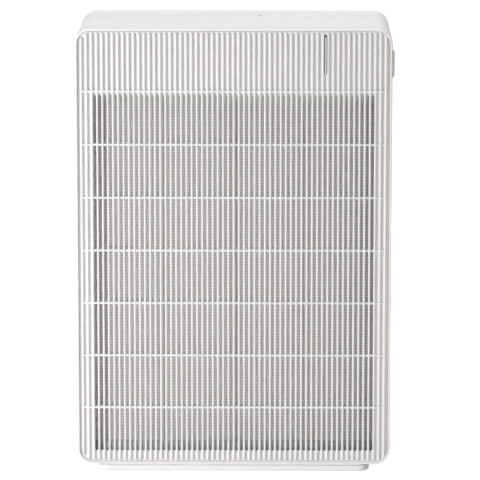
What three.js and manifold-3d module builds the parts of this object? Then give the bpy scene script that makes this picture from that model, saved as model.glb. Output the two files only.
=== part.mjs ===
// Slim floor-standing air purifier. Air enters through the ribbed front cover, passes two sliding
// pre-filters and a filter cartridge, and a backward-curved fan blows it out at the upper rear.
// Millimetres, +Z up, front towards -Y, origin on the floor at the middle of the footprint.
import * as THREE from "three";
import { mergeVertices } from "three/addons/utils/BufferGeometryUtils.js";
import Module from "manifold-3d";

const wasm = await Module();
wasm.setup();

// Overall sizes
const width = 328;
const height = 470;
const depth = 165;
const cornerRadius = 16;
const wall = 2.4;
const gap = 0.3; // between pieces that touch
const slideGap = 0.6; // around a piece that slides
const over = 1; // how far a cutter runs past what it cuts, and a boss into the wall it stands on

// Base
const baseHeight = 10;
const baseSideInset = 21.5;
const baseEndInset = 6;
const baseCornerRadius = 12;
const baseBottomChamfer = 1.8;
const neckHeight = 2.5; // the plinth's top steps in here, so that the body seems to float
const neckInset = 3;
const sliceOverlap = 0.1; // between the slices of the plinth's rounded edge
const footRadius = 8;
const footHeight = 3.2;
const footProud = 1.2; // how far the rubber stands below the plinth
const footInset = 14.5; // foot centre to plinth edge
const baseScrewFront = 17;
const baseScrewBack = 16;
const baseScrewSide = 54;
const baseBossRise = 7.6;
const baseBossRadius = 5.5;

// Front cover and its ribbed panel
const coverDepth = 30.5;
const panelRecess = 0.3; // rib fronts behind the frame's front edge
const ribPitch = 5.43;
const ribWidth = 2.1;
const grooveDepth = 3;
const panelFloor = 2.2; // plate left under a groove
const grooveEndRim = 1.2; // solid rim above and below the grooves
const openTopDrop = 69.3; // top of the open area below the housing's top
const openBottomRise = 14.1; // bottom of the open area above the housing's bottom
const solidRibsPerSide = 3; // ribs over solid plate at each side
const barPitch = 55.7;
const barDrop = 65.1; // first bar below the housing's top
const barHeight = 2.2;
const ribOverlap = 0.01; // the light's slot stops just short of the ribs' sides
const ledgeWidth = 5.6;
const ledgeThick = 1.6;

// Magnets that hold the front cover
const magnetRadius = 4;
const magnetLength = 3;
const magnetSideInset = 16;
const magnetDrop = 8.6;
const magnetRecess = 2; // magnet's back face in front of the main housing
const lugHalf = 5;
const lugThick = 3;

// Status light
const lightGroove = 17; // the lens lies between this rib and the next one
const lightTopDrop = 7;
const lightLength = 40;
const lightRecess = 1.6;
const lensBehind = 1.2; // how far the lens reaches behind the panel
const prongHalf = 4; // light guide that leads the light from the board to the lens
const prongGap = 2;
const ledBoardDrop = 8.6;
const ledBoardHalfWidth = 9;
const ledBoardHalfHeight = 6;

// Pre-filters
const preFilterThick = 6.8;
const preFilterTopDrop = 20.6;
const preFilterBottomRise = 13.6;
const preFilterFrameBar = 4.4;
const preFilterMidBar = 2.6;
const preFilterInnerBar = 1.5;
const netThick = 0.6;
const windowTopDrop = 78;
const windowBottomRise = 20;
const windowSideInset = 16;
const tabHeight = 30.2;
const tabDrop = 2.7; // tab top below the pre-filter's top
const tabProud = 2.6;
const railWall = 1.6;
const railGrip = 7;
const railSetIn = 1.9; // rails' back lips in front of the cover's back edge

// Filter cartridge and its bay
const cartridgeDepth = 33;
const cartridgeSideInset = 16.5;
const cartridgeTopDrop = 62.5;
const cartridgeBottomRise = 15;
const cartridgeWall = 3;
const cartridgeSetBack = 1.7; // cartridge's front behind the main housing's front edge
const gasketSquash = 1; // the gasket is this much thinner once the cartridge is in
const faceGap = 1; // carbon and pleats behind each face of the cartridge
const gasketThick = 3;
const gasketWidth = 6;
const pleatPitch = 8;
const pleatThick = 1.6;
const carbonThick = 4;
const bayWall = 2;
const bayGap = 1;
const pullTabHalf = 12;
const pullTabLength = 33.5;
const pullTabInset = 0.5; // tab's top below the cartridge's top
const pullTabThick = 1.2;

// Fan
const scrollGrowth = 38;
const tongueGap = 10;
const ductWallGap = 13.6; // scroll to housing side
const scrollFloorGap = 22;
const scrollWall = 2;
const scrollStart = THREE.MathUtils.degToRad(80);
const scrollTurn = THREE.MathUtils.degToRad(260);
const ductRise = 12;
const shroudWidth = 22;
const shroudLip = 2;
const shroudRise = 8; // how far the shroud slopes back to the impeller's rim
const shroudGap = 0.8; // bell throat to shroud
const bellSetBack = 3.7; // shroud's lip behind the bell's rim
const bellRim = 8;
const bellThick = 1.8;
const bellWall = 1.7;
const bellEdge = 1.6; // how far the bell's front edge curves back
const bellFillet = 2.3;
const bellFilletDepth = 3.1;
const bladeInset = 0.5; // blade tips inside the impeller's rim
const bladeTrim = 0.4;
const impellerSetIn = 16; // impeller's back in front of the scroll's back
const hubPlate = 2;
const hubWall = 3;
const nutHeight = 4.4;
const bladeCount = 9;
const bladeThick = 2;
const bladeSpan = 38;
const bladeSweep = THREE.MathUtils.degToRad(42);
const hubRadius = 34;
const hubNose = 24;
const hubSetBack = 13;
const shaftRadius = 4;
const shaftProud = 6;
const motorRadius = 40;
const motorNose = 18;
const motorFlange = 14;
const motorNoseLength = 6;
const motorPlate = 2; // thickness of the motor's flange and of its rubber mount
const motorCap = 5; // motor behind its flange
const mountRim = 8;
const motorScrewCount = 3;
const motorHoleGap = 2;
const guardRings = 3;
const guardSpokes = 6;
const guardBar = 2.4;
const guardHub = 6; // guard's radius over its hub's

// Rear cover, outlet and handle
const rearDepth = 26.5;
const outletHeight = 50;
const outletTopDrop = 44;
const outletSideInset = 43.6;
const outletVanes = 8;
const vaneThick = 1.6;
const vaneDepth = 7;
const vaneTilt = THREE.MathUtils.degToRad(32);
const outletBars = 4;
const ductWall = 2;
const hoodRim = 4; // hood around the outlet
const grilleDepth = 6;
const grilleRing = 3;
const grilleBarHalf = 1;
const handleWidth = 112;
const handleHeight = 26;
const handleDepth = 22;
const handleTopDrop = 7;
const bossRadius = 6.5;
const bossRise = 24;
const bossReach = 12; // how far the housing's bosses reach forward
const boreEnd = 1.5; // solid left at the end of a boss's bore
const glandRadius = 6;
const glandFlange = 9;
const glandBore = 3.5;
const glandSide = 54;
const glandRise = 28;
const glandDepth = 7;
const openingReach = 8; // rear cover's openings are cut this far in from its back

// Screws
const screwShank = 1.9;
const screwHead = 4.2;
const screwHeadHeight = 2.4;
const seatRise = 9; // rear screw seats behind the rear cover's front edge
const tipGap = 2; // rear screw's tip to the end of its boss
const baseTipGap = 3;
const baseSeatDepth = 2; // plinth under a base screw's head
const smallScrewShank = 1.4;
const smallScrewHead = 3;
const headTaper = 0.8; // a head's top is this much narrower than its seat
const footClear = 1; // base screw heads above the plinth's underside
const motorScrewReach = 4; // motor screws past the scroll's back

// Electronics
const boardThick = 1.6;
const touchKeyCount = 3;
const touchKeyPitch = 22;
const touchKeyStart = 56; // first key to the right of the middle
const touchKeySetBack = 42.5; // key row in front of the main housing's back edge
const lightSensorSide = 26;
const lightSensorSetBack = 23;
const lightSensorRadius = 2;
const controlBoardDrop = 11;
const boardPastKeys = 14; // control board past the last key, and in front of the keys
const boardFrontPastKeys = 16;
const boardPastSensor = 8;
const socketInset = 2;
const socketWidth = 10;
const socketSetIn = 4;
const socketLength = 12;
const socketDrop = 8; // socket's underside below the board's top
const springRadius = 4;
const springWall = 1;
const lensReach = 3; // light sensor's lens below the top wall
const lensSink = 0.2;
const sensorWidth = 34;
const sensorSize = 38;
const sensorDepth = 26;
const sensorRise = 130; // particle sensor above the fan's middle
const sensorSetBack = 5;
const ventCount = 5;
const ventPitch = 4;
const ventHeight = 1.6;
const ventRise = 9;
const ventInset = 5;
const powerBoardWidth = 50;
const powerBoardHeight = 46;
const powerBoardSide = 56;
const powerBoardRise = 4;
const powerBoardSetBack = 4;
// blocks on the power board: x and z of a corner, width, height, depth
const powerBlocks = [
  [6, 4, 20, 18, 16],
  [8, 28, 12, 12, 10],
];
const capacitorSpot = [40, 10];
const capacitorRadius = 6;
const capacitorReach = 22;
const cableStep = 14; // length of one cable section
const cableSides = 4;
const cableRadius = 2;
const arcSteps = 3; // an arc gets twice as many edges
const bladeSteps = 5;
const scrollSteps = 30;
const plinthSteps = 3; // slices of the plinth's rounded lower edge
const roundSteps = 28;
const smallSteps = 8;
const middleSteps = 14;

// Levels and limits that follow from the sizes above
const half = width / 2;
const front = -depth / 2;
const back = depth / 2;
const bottom = baseHeight;
const insideHalf = half - wall;
const insideTop = height - wall;
const insideBottom = bottom + wall;
const coverBack = front + coverDepth;
const mainFront = coverBack + gap;
const mainBack = back - rearDepth - gap;
const rearFront = back - rearDepth;
const fanHalf = insideHalf - ductWallGap; // outermost inside of the scroll, to the left
const impellerRadius = fanHalf - scrollWall - scrollGrowth - tongueGap;
const scrollRadius = impellerRadius + tongueGap;
const scrollAt = (turned) => scrollRadius + (scrollGrowth * turned) / scrollTurn;
const fanZ = insideBottom + scrollFloorGap + scrollWall + scrollAt(scrollStart + Math.PI / 2);
const bayFloorBack = mainFront + cartridgeDepth + gasketThick + bayWall + 2 * bayGap;
const scrollFront = bayFloorBack + wall;
const scrollBack = mainBack;

// Finishes
const finish = (color, roughness, metalness = 0) =>
  new THREE.MeshStandardMaterial({ color, roughness, metalness });
const whitePlastic = finish(0xeeeeec, 0.42);
const greyPlastic = finish(0xc9cac9, 0.55);
const darkPlastic = finish(0x3a3c3e, 0.6);
const frameWhite = finish(0xe4e4e0, 0.5);
const netGrey = finish(0xb4b5b4, 0.8);
const paperWhite = finish(0xf4f3ee, 0.95);
const carbonBlack = finish(0x26272a, 0.9);
const foamGrey = finish(0x5a5c5e, 0.95);
const rubberGrey = finish(0x55585a, 0.85);
const steel = finish(0xb9bcc0, 0.35, 1);
const magnetSteel = finish(0x8e9196, 0.3, 1);
const boardGreen = finish(0x2c6b45, 0.55);
const lensMilk = finish(0xdad6d4, 0.25);
const lensDark = finish(0x1c1d20, 0.15);
const cableBlack = finish(0x222326, 0.5);

// Shapes and solids
function solidOf(geometry) {
  const bare = geometry.index ? geometry.toNonIndexed() : geometry.clone();
  bare.deleteAttribute("normal");
  bare.deleteAttribute("uv");
  const merged = mergeVertices(bare, 1e-4);
  return new wasm.Manifold(
    new wasm.Mesh({
      numProp: 3,
      vertProperties: merged.attributes.position.array,
      triVerts: new Uint32Array(merged.index.array),
    }),
  );
}

function geometryOf(solid) {
  const mesh = solid.getMesh();
  const indexed = new THREE.BufferGeometry();
  indexed.setAttribute("position", new THREE.BufferAttribute(mesh.vertProperties, 3));
  indexed.setIndex(new THREE.BufferAttribute(mesh.triVerts, 1));
  const flat = indexed.toNonIndexed();
  flat.computeVertexNormals();
  return flat;
}

const join = (...solids) => solids.reduce((all, next) => all.add(next));
const cut = (solid, ...tools) => tools.reduce((rest, tool) => rest.subtract(tool), solid);

function box(x0, x1, y0, y1, z0, z1) {
  const geometry = new THREE.BoxGeometry(x1 - x0, y1 - y0, z1 - z0);
  geometry.translate((x0 + x1) / 2, (y0 + y1) / 2, (z0 + z1) / 2);
  return solidOf(geometry);
}

// The range from a to b to the right of the middle (side 1) or its mirror image (side -1)
const sided = (side, a, b) => (side > 0 ? [a, b] : [-b, -a]);

// A closed outline from a list of [x, z] or [x, y] points
const outline = (points) => new THREE.Shape(points.map(([a, b]) => new THREE.Vector2(a, b)));

function roundedRect(x0, x1, z0, z1, radius) {
  const shape = new THREE.Shape();
  shape.absarc(x1 - radius, z0 + radius, radius, -Math.PI / 2, 0);
  shape.absarc(x1 - radius, z1 - radius, radius, 0, Math.PI / 2);
  shape.absarc(x0 + radius, z1 - radius, radius, Math.PI / 2, Math.PI);
  shape.absarc(x0 + radius, z0 + radius, radius, Math.PI, 1.5 * Math.PI);
  return shape;
}

// The housing's outline, moved in by inset
const housingOutline = (inset) =>
  roundedRect(-half + inset, half - inset, bottom + inset, height - inset, cornerRadius - inset);

// An outline drawn in X and Z, made solid from y0 to y1
function prismY(shape, y0, y1) {
  const geometry = new THREE.ExtrudeGeometry(shape, {
    depth: y1 - y0,
    bevelEnabled: false,
    curveSegments: arcSteps,
  });
  geometry.rotateX(Math.PI / 2);
  geometry.translate(0, y1, 0);
  return solidOf(geometry);
}

// An outline drawn in X and Y, made solid from z0 to z1
function prismZ(shape, z0, z1) {
  const geometry = new THREE.ExtrudeGeometry(shape, {
    depth: z1 - z0,
    bevelEnabled: false,
    curveSegments: arcSteps,
  });
  geometry.translate(0, 0, z0);
  return solidOf(geometry);
}

// A round piece about a line along Y through (x, z); the profile runs anticlockwise in (radius, y)
function latheY(profile, x, z, steps = roundSteps) {
  const points = profile.map(([r, y]) => new THREE.Vector2(r, y));
  const onAxis = points[0].x === 0 && points.at(-1).x === 0;
  if (!onAxis) points.push(points[0].clone());
  const geometry = new THREE.LatheGeometry(points, steps);
  geometry.translate(x, 0, z);
  return solidOf(geometry);
}

function cylinderY(radius, y0, y1, x, z, steps = roundSteps) {
  const profile = [[0, y0], [radius, y0], [radius, y1], [0, y1]];
  return latheY(profile, x, z, steps);
}

function cylinderZ(radius, z0, z1, x, y, steps = smallSteps) {
  const geometry = new THREE.CylinderGeometry(radius, radius, z1 - z0, steps);
  geometry.rotateX(Math.PI / 2);
  geometry.translate(x, y, (z0 + z1) / 2);
  return solidOf(geometry);
}

const air_purifier = new THREE.Group();

function place(name, solid, material, parent = air_purifier) {
  const mesh = new THREE.Mesh(geometryOf(solid), material);
  mesh.name = name;
  parent.add(mesh);
}

// Front cover: frame, ribbed panel, light lens, rails and magnets
const panelInset = wall + gap;
const panelFront = front + panelRecess;
const grooveFloor = panelFront + grooveDepth;
const panelBack = grooveFloor + panelFloor;
const panelHalf = half - panelInset;
const ribsPerSide = Math.floor((panelHalf - ribWidth / 2) / ribPitch);
const openHalf = (ribsPerSide + 1 - solidRibsPerSide) * ribPitch - ribWidth / 2;
const openTop = height - openTopDrop;
const openBottom = bottom + openBottomRise;
const slotBack = coverBack - railWall - slideGap - railSetIn;
const slotFront = slotBack - preFilterThick - 2 * slideGap;
const preFilterTop = height - preFilterTopDrop;
const preFilterBottom = bottom + preFilterBottomRise;
const magnetX = insideHalf - magnetSideInset;
const magnetZ = insideTop - magnetDrop;
const magnetBack = mainFront - magnetRecess;

function coverFrame() {
  const shell = cut(
    prismY(housingOutline(0), front, coverBack),
    prismY(housingOutline(wall), front - over, coverBack + over),
  );
  const ledge = (y) =>
    cut(
      prismY(housingOutline(wall / 2), y, y + ledgeThick),
      prismY(housingOutline(wall + ledgeWidth), y - over, y + ledgeThick + over),
    );
  const slot = (side) => {
    const reach = sided(side, half - cornerRadius, half + over); // through the wall and its corner arcs
    return box(...reach, slotFront, slotBack, preFilterBottom - slideGap, preFilterTop + slideGap);
  };
  const magnetLug = (side) => {
    const x = side * magnetX;
    const lugBack = magnetBack - magnetLength - gap;
    const lugTop = insideTop + wall / 2;
    return box(x - lugHalf, x + lugHalf, lugBack - lugThick, lugBack, magnetZ - lugHalf, lugTop);
  };
  const lightNotch = box(
    lightX - lightHalf - gap,
    lightX + lightHalf + gap,
    panelBack,
    panelBack + ledgeThick + over,
    insideTop - ledgeWidth - over,
    lightTop + gap,
  );
  return cut(
    join(shell, ledge(panelBack + gap), magnetLug(-1), magnetLug(1)),
    slot(-1),
    slot(1),
    lightNotch,
  );
}

// The grooves as one comb whose spine lies in front of the panel
function grooveComb() {
  const spine = panelFront - over;
  const reach = panelHalf + over;
  const points = [[-reach, spine - over]];
  for (let k = -ribsPerSide; k <= ribsPerSide; k++) {
    const left = k * ribPitch - ribWidth / 2;
    const right = k * ribPitch + ribWidth / 2;
    points.push([left, grooveFloor], [left, spine], [right, spine], [right, grooveFloor]);
  }
  const first = [-reach, grooveFloor];
  const last = [reach, grooveFloor];
  return outline([points[0], first, ...points.slice(1), last, [reach, spine - over]]);
}

function frontGrille() {
  const plate = prismY(housingOutline(panelInset), panelFront, panelBack);
  const grooveArea = prismY(
    roundedRect(
      -panelHalf - grooveEndRim,
      panelHalf + grooveEndRim,
      bottom + panelInset + grooveEndRim,
      height - panelInset - grooveEndRim,
      cornerRadius - panelInset,
    ),
    panelFront - over,
    panelBack + over,
  );
  const grooves = prismZ(grooveComb(), bottom, height).intersect(grooveArea);
  const open = box(-openHalf, openHalf, grooveFloor, panelBack + over, openBottom, openTop);
  let panel = cut(plate, grooves, open);
  for (let z = height - barDrop; z > openBottom + barHeight; z -= barPitch) {
    if (z - barHeight / 2 > openTop) continue; // this one lies on solid plate
    const bar = box(
      -openHalf - over,
      openHalf + over,
      grooveFloor,
      panelBack,
      z - barHeight / 2,
      z + barHeight / 2,
    );
    panel = panel.add(bar);
  }
  return cut(panel, lightSlot(gap));
}

const lightX = (lightGroove + 0.5) * ribPitch;
const lightTop = height - lightTopDrop;
const lightHalf = (ribPitch - ribWidth) / 2 - gap;

function lightSlot(clearance) {
  return box(
    lightX - lightHalf - clearance + ribOverlap,
    lightX + lightHalf + clearance - ribOverlap,
    grooveFloor - over / 2,
    panelBack + over,
    lightTop - lightLength - clearance,
    lightTop + clearance,
  );
}

function lightLens() {
  const bar = box(
    lightX - lightHalf,
    lightX + lightHalf,
    panelFront + lightRecess,
    panelBack + lensBehind,
    lightTop - lightLength,
    lightTop,
  );
  const prong = box(
    lightX - lightHalf,
    lightX + lightHalf,
    panelBack,
    ledBoardFront - prongGap,
    ledBoardZ - prongHalf,
    ledBoardZ + prongHalf,
  );
  return join(bar, prong);
}

// A channel along X that holds the pre-filters' upper or lower edge
function rail(edge, inward) {
  const lipFront = slotFront - railWall;
  const lipBack = slotBack + railWall;
  const reach = insideHalf - gap;
  const outer = [edge - inward * (slideGap + railWall), edge + inward * railGrip].sort(
    (p, q) => p - q,
  );
  const inner = [edge - inward * slideGap, edge + inward * (railGrip + over)].sort((p, q) => p - q);
  const channel = cut(
    box(-reach, reach, lipFront, lipBack, ...outer),
    box(-reach - over, reach + over, slotFront, slotBack, ...inner),
  );
  return channel.intersect(prismY(housingOutline(wall + gap), lipFront - over, lipBack + over));
}

const ledBoardBack = mainFront - gap;
const ledBoardFront = ledBoardBack - boardThick;
const ledBoardZ = insideTop - ledBoardDrop;

place("front_cover_frame", coverFrame(), whitePlastic);
place("front_grille", frontGrille(), whitePlastic);
place("status_light_lens", lightLens(), lensMilk);
place("pre_filter_rail_upper", rail(preFilterTop, -1), greyPlastic);
place("pre_filter_rail_lower", rail(preFilterBottom, 1), greyPlastic);
for (const [name, side] of [["left", -1], ["right", 1]]) {
  const magnetFront = magnetBack - magnetLength;
  const magnet = cylinderY(magnetRadius, magnetFront, magnetBack, side * magnetX, magnetZ, middleSteps);
  place("cover_magnet_" + name, magnet, magnetSteel);
  const strike = box(
    side * magnetX - lugHalf,
    side * magnetX + lugHalf,
    magnetBack + gap,
    mainFront - gap,
    magnetZ - lugHalf,
    magnetZ + lugHalf,
  );
  place("magnet_strike_" + name, strike, steel);
}

// Pre-filters: each half has a frame with two windows, a net and a pull tab at its outer edge
const preFront = slotFront + slideGap;
const preBack = slotBack - slideGap;
const windowTop = height - windowTopDrop;
const windowBottom = bottom + windowBottomRise;
const windowOuter = half - windowSideInset;
const preFilterMeet = 0.25; // each half stops this far from the middle
const windowInner = preFilterMeet + preFilterInnerBar;
const windowMiddle = (windowInner + windowOuter) / 2;
const netGroove = netThick + 2 * gap;
const netY = (preFront + preBack) / 2;

function preFilterFrame(side) {
  const body = box(
    ...sided(side, preFilterMeet, half),
    preFront,
    preBack,
    preFilterBottom,
    preFilterTop,
  );
  const windows = [
    [windowInner, windowMiddle - preFilterMidBar / 2],
    [windowMiddle + preFilterMidBar / 2, windowOuter],
  ].map(([a, b]) =>
    box(...sided(side, a, b), preFront - over, preBack + over, windowBottom, windowTop),
  );
  // the net lies in a slot that is open at the frame's inner edge
  const netSlot = box(
    ...sided(side, preFilterMeet - over, windowOuter + preFilterFrameBar / 2),
    netY - netGroove / 2,
    netY + netGroove / 2,
    windowBottom - preFilterFrameBar / 2,
    windowTop + preFilterFrameBar / 2,
  );
  const tabTop = preFilterTop - tabDrop;
  const tabShape = outline([
    [half - over, tabTop - tabHeight],
    [half, tabTop - tabHeight],
    [half + tabProud, tabTop - tabHeight + tabProud],
    [half + tabProud, tabTop - tabProud],
    [half, tabTop],
    [half - over, tabTop],
  ]);
  let tab = prismY(tabShape, preFront, preBack);
  if (side < 0) tab = tab.mirror([1, 0, 0]);
  return cut(join(body, tab), ...windows, netSlot);
}

function preFilterNet(side) {
  return box(
    ...sided(side, preFilterMeet, windowOuter + preFilterFrameBar / 2 - gap),
    netY - netThick / 2,
    netY + netThick / 2,
    windowBottom - preFilterFrameBar / 2 + gap,
    windowTop + preFilterFrameBar / 2 - gap,
  );
}

for (const [name, side] of [["left", -1], ["right", 1]]) {
  place("pre_filter_frame_" + name, preFilterFrame(side), frameWhite);
  place("pre_filter_net_" + name, preFilterNet(side), netGrey);
}

// Filter bay and cartridge
const cartridgeHalf = half - cartridgeSideInset;
const cartridgeTop = height - cartridgeTopDrop;
const cartridgeBottom = bottom + cartridgeBottomRise;
const cartridgeFront = mainFront + cartridgeSetBack;
const cartridgeBack = cartridgeFront + cartridgeDepth;
const bayFloorFront = bayFloorBack - bayWall;
const fanHole = impellerRadius - gap;

function filterBay() {
  const inner = [-cartridgeHalf - bayGap, cartridgeHalf + bayGap];
  const innerZ = [cartridgeBottom - bayGap, cartridgeTop + bayGap];
  const flange = prismY(housingOutline(wall + gap), mainFront, mainFront + bayWall);
  const tub = box(
    inner[0] - bayWall,
    inner[1] + bayWall,
    mainFront,
    bayFloorBack,
    innerZ[0] - bayWall,
    innerZ[1] + bayWall,
  );
  const room = box(...inner, mainFront - over, bayFloorFront, ...innerZ);
  const hole = cylinderY(fanHole, bayFloorFront - over, bayFloorBack + over, 0, fanZ);
  return cut(join(flange, tub), room, hole);
}

function cartridgeRing(y0, y1, ringWidth) {
  return cut(
    box(-cartridgeHalf, cartridgeHalf, y0, y1, cartridgeBottom, cartridgeTop),
    box(
      -cartridgeHalf + ringWidth,
      cartridgeHalf - ringWidth,
      y0 - over,
      y1 + over,
      cartridgeBottom + ringWidth,
      cartridgeTop - ringWidth,
    ),
  );
}

const mediaHalf = cartridgeHalf - cartridgeWall - gap;
const mediaBottom = cartridgeBottom + cartridgeWall + gap;
const mediaTop = cartridgeTop - cartridgeWall - gap;
const carbonFront = cartridgeFront + faceGap;
const carbonBack = carbonFront + carbonThick;

function pleatedMedia() {
  const folds = 2 * Math.round(mediaHalf / (pleatPitch / 2) / 2) * 2;
  const step = (2 * mediaHalf) / folds;
  const near = carbonBack + faceGap;
  const far = cartridgeBack - faceGap - pleatThick;
  const fold = (i) => [-mediaHalf + i * step, i % 2 ? far : near];
  const points = Array.from({ length: folds + 1 }, (_, i) => fold(i));
  const behind = points.map(([x, y]) => [x, y + pleatThick]).reverse();
  return prismZ(outline([...points, ...behind]), mediaBottom, mediaTop);
}

place("filter_bay", filterBay(), greyPlastic);
place("filter_frame", cartridgeRing(cartridgeFront, cartridgeBack, cartridgeWall), paperWhite);
place(
  "filter_gasket",
  cartridgeRing(cartridgeBack + gap, cartridgeBack + gap + gasketThick - gasketSquash, gasketWidth),
  foamGrey,
);
place(
  "carbon_layer",
  box(-mediaHalf, mediaHalf, carbonFront, carbonBack, mediaBottom, mediaTop),
  carbonBlack,
);
place("filter_media", pleatedMedia(), paperWhite);
place(
  "filter_pull_tab",
  box(
    -pullTabHalf,
    pullTabHalf,
    cartridgeFront - gap - pullTabThick,
    cartridgeFront - gap,
    cartridgeTop - pullTabLength - pullTabInset,
    cartridgeTop - pullTabInset,
  ),
  foamGrey,
);

// Fan: guard, bell, impeller, shaft, nut, motor, mount and scroll
const shroudInner = impellerRadius - shroudWidth;
const bellRadius = shroudInner - shroudGap;
const bellFront = bayFloorBack + gap;
const impellerFront = bellFront + bellSetBack;
const impellerBack = scrollBack - impellerSetIn;
const hubFront = impellerFront + hubSetBack;
const noseFront = hubFront + motorNoseLength;
const motorFront = impellerBack + hubPlate;
const mountFront = scrollBack + gap;
const mountBack = mountFront + motorPlate;
const motorFlangeFront = mountBack + gap;
const motorFlangeBack = motorFlangeFront + motorPlate;
const motorBack = motorFlangeBack + motorCap;
const motorScrewRing = motorRadius + motorFlange / 2;

function fanGuard() {
  const outerRadius = fanHole - gap;
  const ringAt = (r) =>
    latheY(
      [
        [r - guardBar, bayFloorFront],
        [r, bayFloorFront],
        [r, bayFloorBack],
        [r - guardBar, bayFloorBack],
      ],
      0,
      fanZ,
    );
  const hubDisc = cylinderY(outerRadius / guardHub, bayFloorFront, bayFloorBack, 0, fanZ, middleSteps);
  let guard = hubDisc;
  for (let i = 1; i <= guardRings; i++) guard = guard.add(ringAt((outerRadius * i) / guardRings));
  for (let i = 0; i < guardSpokes / 2; i++) {
    const spoke = new THREE.BoxGeometry(
      2 * outerRadius - guardBar,
      bayWall,
      guardBar,
    );
    spoke.rotateY((Math.PI * 2 * i) / guardSpokes);
    spoke.translate(0, (bayFloorFront + bayFloorBack) / 2, fanZ);
    guard = guard.add(solidOf(spoke));
  }
  return guard;
}

function inletBell() {
  const rim = fanHole + bellRim;
  const plate = bellFront + bellThick;
  const profile = [
    [bellRadius - bellWall, bellFront + bellEdge],
    [bellRadius + shroudGap, bellFront],
    [rim, bellFront],
    [rim, plate],
    [bellRadius + bellFillet, plate],
    [bellRadius, bellFront + bellFilletDepth],
    [bellRadius, impellerFront + shroudLip],
    [bellRadius - bellWall, impellerFront + shroudLip],
  ];
  return latheY(profile, 0, fanZ);
}

// Blades lean back against the turn, which is clockwise seen from the front
function blade(index) {
  const inner = impellerRadius - bladeSpan;
  const outer = impellerRadius - bladeInset;
  const steps = bladeSteps;
  const turn = (2 * Math.PI * index) / bladeCount;
  const at = (t, offset) => {
    const r = inner + (outer - inner) * t;
    const angle = turn + bladeSweep * t + offset / r;
    return [r * Math.cos(angle), r * Math.sin(angle)];
  };
  const side = (offset) => Array.from({ length: steps + 1 }, (_, i) => at(i / steps, offset));
  const shape = outline([...side(-bladeThick / 2), ...side(bladeThick / 2).reverse()]);
  const solid = prismY(shape, impellerFront, impellerBack - hubPlate / 2);
  return solid.translate([0, 0, fanZ]);
}

function impeller() {
  const plateFront = impellerBack - hubPlate;
  const hub = latheY(
    [
      [shaftRadius + gap, hubFront],
      [hubNose, hubFront],
      [hubRadius, plateFront - hubPlate],
      [impellerRadius, plateFront],
      [impellerRadius, impellerBack],
      [hubRadius - hubWall, impellerBack],
      [hubNose - hubWall, hubFront + hubWall],
      [shaftRadius + gap, hubFront + hubWall],
    ],
    0,
    fanZ,
  );
  const lip = impellerFront;
  const shroud = latheY(
    [
      [shroudInner, lip],
      [shroudInner + shroudLip, lip],
      [shroudInner + 2 * shroudLip, lip + shroudRise / 2],
      [impellerRadius, lip + shroudRise],
      [impellerRadius, lip + shroudRise + shroudLip],
      [shroudInner + 1.5 * shroudLip, lip + shroudRise / 2 + shroudLip],
      [shroudInner, lip + 1.5 * shroudLip],
    ],
    0,
    fanZ,
  );
  const bladeRoom = latheY(
    [
      [impellerRadius - bladeSpan - 2 * shroudLip, lip + (shroudRise + shroudLip) / 2],
      [shroudInner + 1.75 * shroudLip, lip + (shroudRise + shroudLip) / 2],
      [impellerRadius - bladeTrim, lip + shroudRise + shroudLip / 2],
      [impellerRadius - bladeTrim, impellerBack - hubPlate / 2],
      [impellerRadius - bladeSpan - 2 * shroudLip, impellerBack - hubPlate / 2],
    ],
    0,
    fanZ,
  );
  const blades = Array.from({ length: bladeCount }, (_, i) => blade(i).intersect(bladeRoom));
  return join(hub, shroud, ...blades);
}

function scrollPath(offset) {
  const steps = scrollSteps;
  const points = [];
  const tongue = scrollStart - offset / scrollRadius;
  const last = scrollStart - scrollTurn;
  for (let i = 0; i <= steps; i++) {
    const angle = tongue + ((last - tongue) * i) / steps;
    const r = scrollAt(Math.max(0, scrollStart - angle)) + offset;
    points.push([r * Math.cos(angle), fanZ + r * Math.sin(angle)]);
  }
  return points;
}

const ductRight = scrollRadius * Math.cos(scrollStart);
const ductLeft = -scrollAt(scrollTurn);
const ductTop = fanZ + scrollRadius + ductRise;

const screwHoleAt = (radius, count, turn, make) =>
  Array.from({ length: count }, (_, i) => {
    const angle = turn + (2 * Math.PI * i) / count;
    return make(radius * Math.cos(angle), fanZ + radius * Math.sin(angle));
  });

const motorScrewHoles = (y0, y1) =>
  screwHoleAt(motorScrewRing, motorScrewCount, Math.PI / 2, (x, z) =>
    cylinderY(smallScrewShank + gap, y0, y1, x, z, smallSteps),
  );

function fanScroll() {
  const inside = [[ductRight, ductTop], ...scrollPath(0), [ductLeft, ductTop]];
  const outside = [
    [ductRight + scrollWall, ductTop],
    ...scrollPath(scrollWall),
    [ductLeft - scrollWall, ductTop],
  ];
  const walls = prismY(outline([...inside, ...outside.reverse()]), scrollFront, scrollBack);
  const plate = prismY(outline(outside), scrollBack - scrollWall, scrollBack);
  const holeFront = scrollBack - scrollWall - over;
  const motorHole = cylinderY(motorRadius + motorHoleGap, holeFront, scrollBack + over, 0, fanZ);
  return cut(join(walls, plate), motorHole, ...motorScrewHoles(holeFront, scrollBack + over));
}

function motor() {
  const body = latheY(
    [
      [0, motorFront],
      [shaftRadius + gap, motorFront],
      [shaftRadius + gap, noseFront],
      [motorNose, noseFront],
      [motorNose, motorFront],
      [motorRadius, motorFront],
      [motorRadius, motorFlangeFront],
      [motorRadius + motorFlange, motorFlangeFront],
      [motorRadius + motorFlange, motorFlangeBack],
      [motorRadius, motorFlangeBack],
      [motorRadius - hubWall, motorBack],
      [0, motorBack],
    ],
    0,
    fanZ,
  );
  return cut(body, ...motorScrewHoles(motorFlangeFront - over, motorFlangeBack + over));
}

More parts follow.
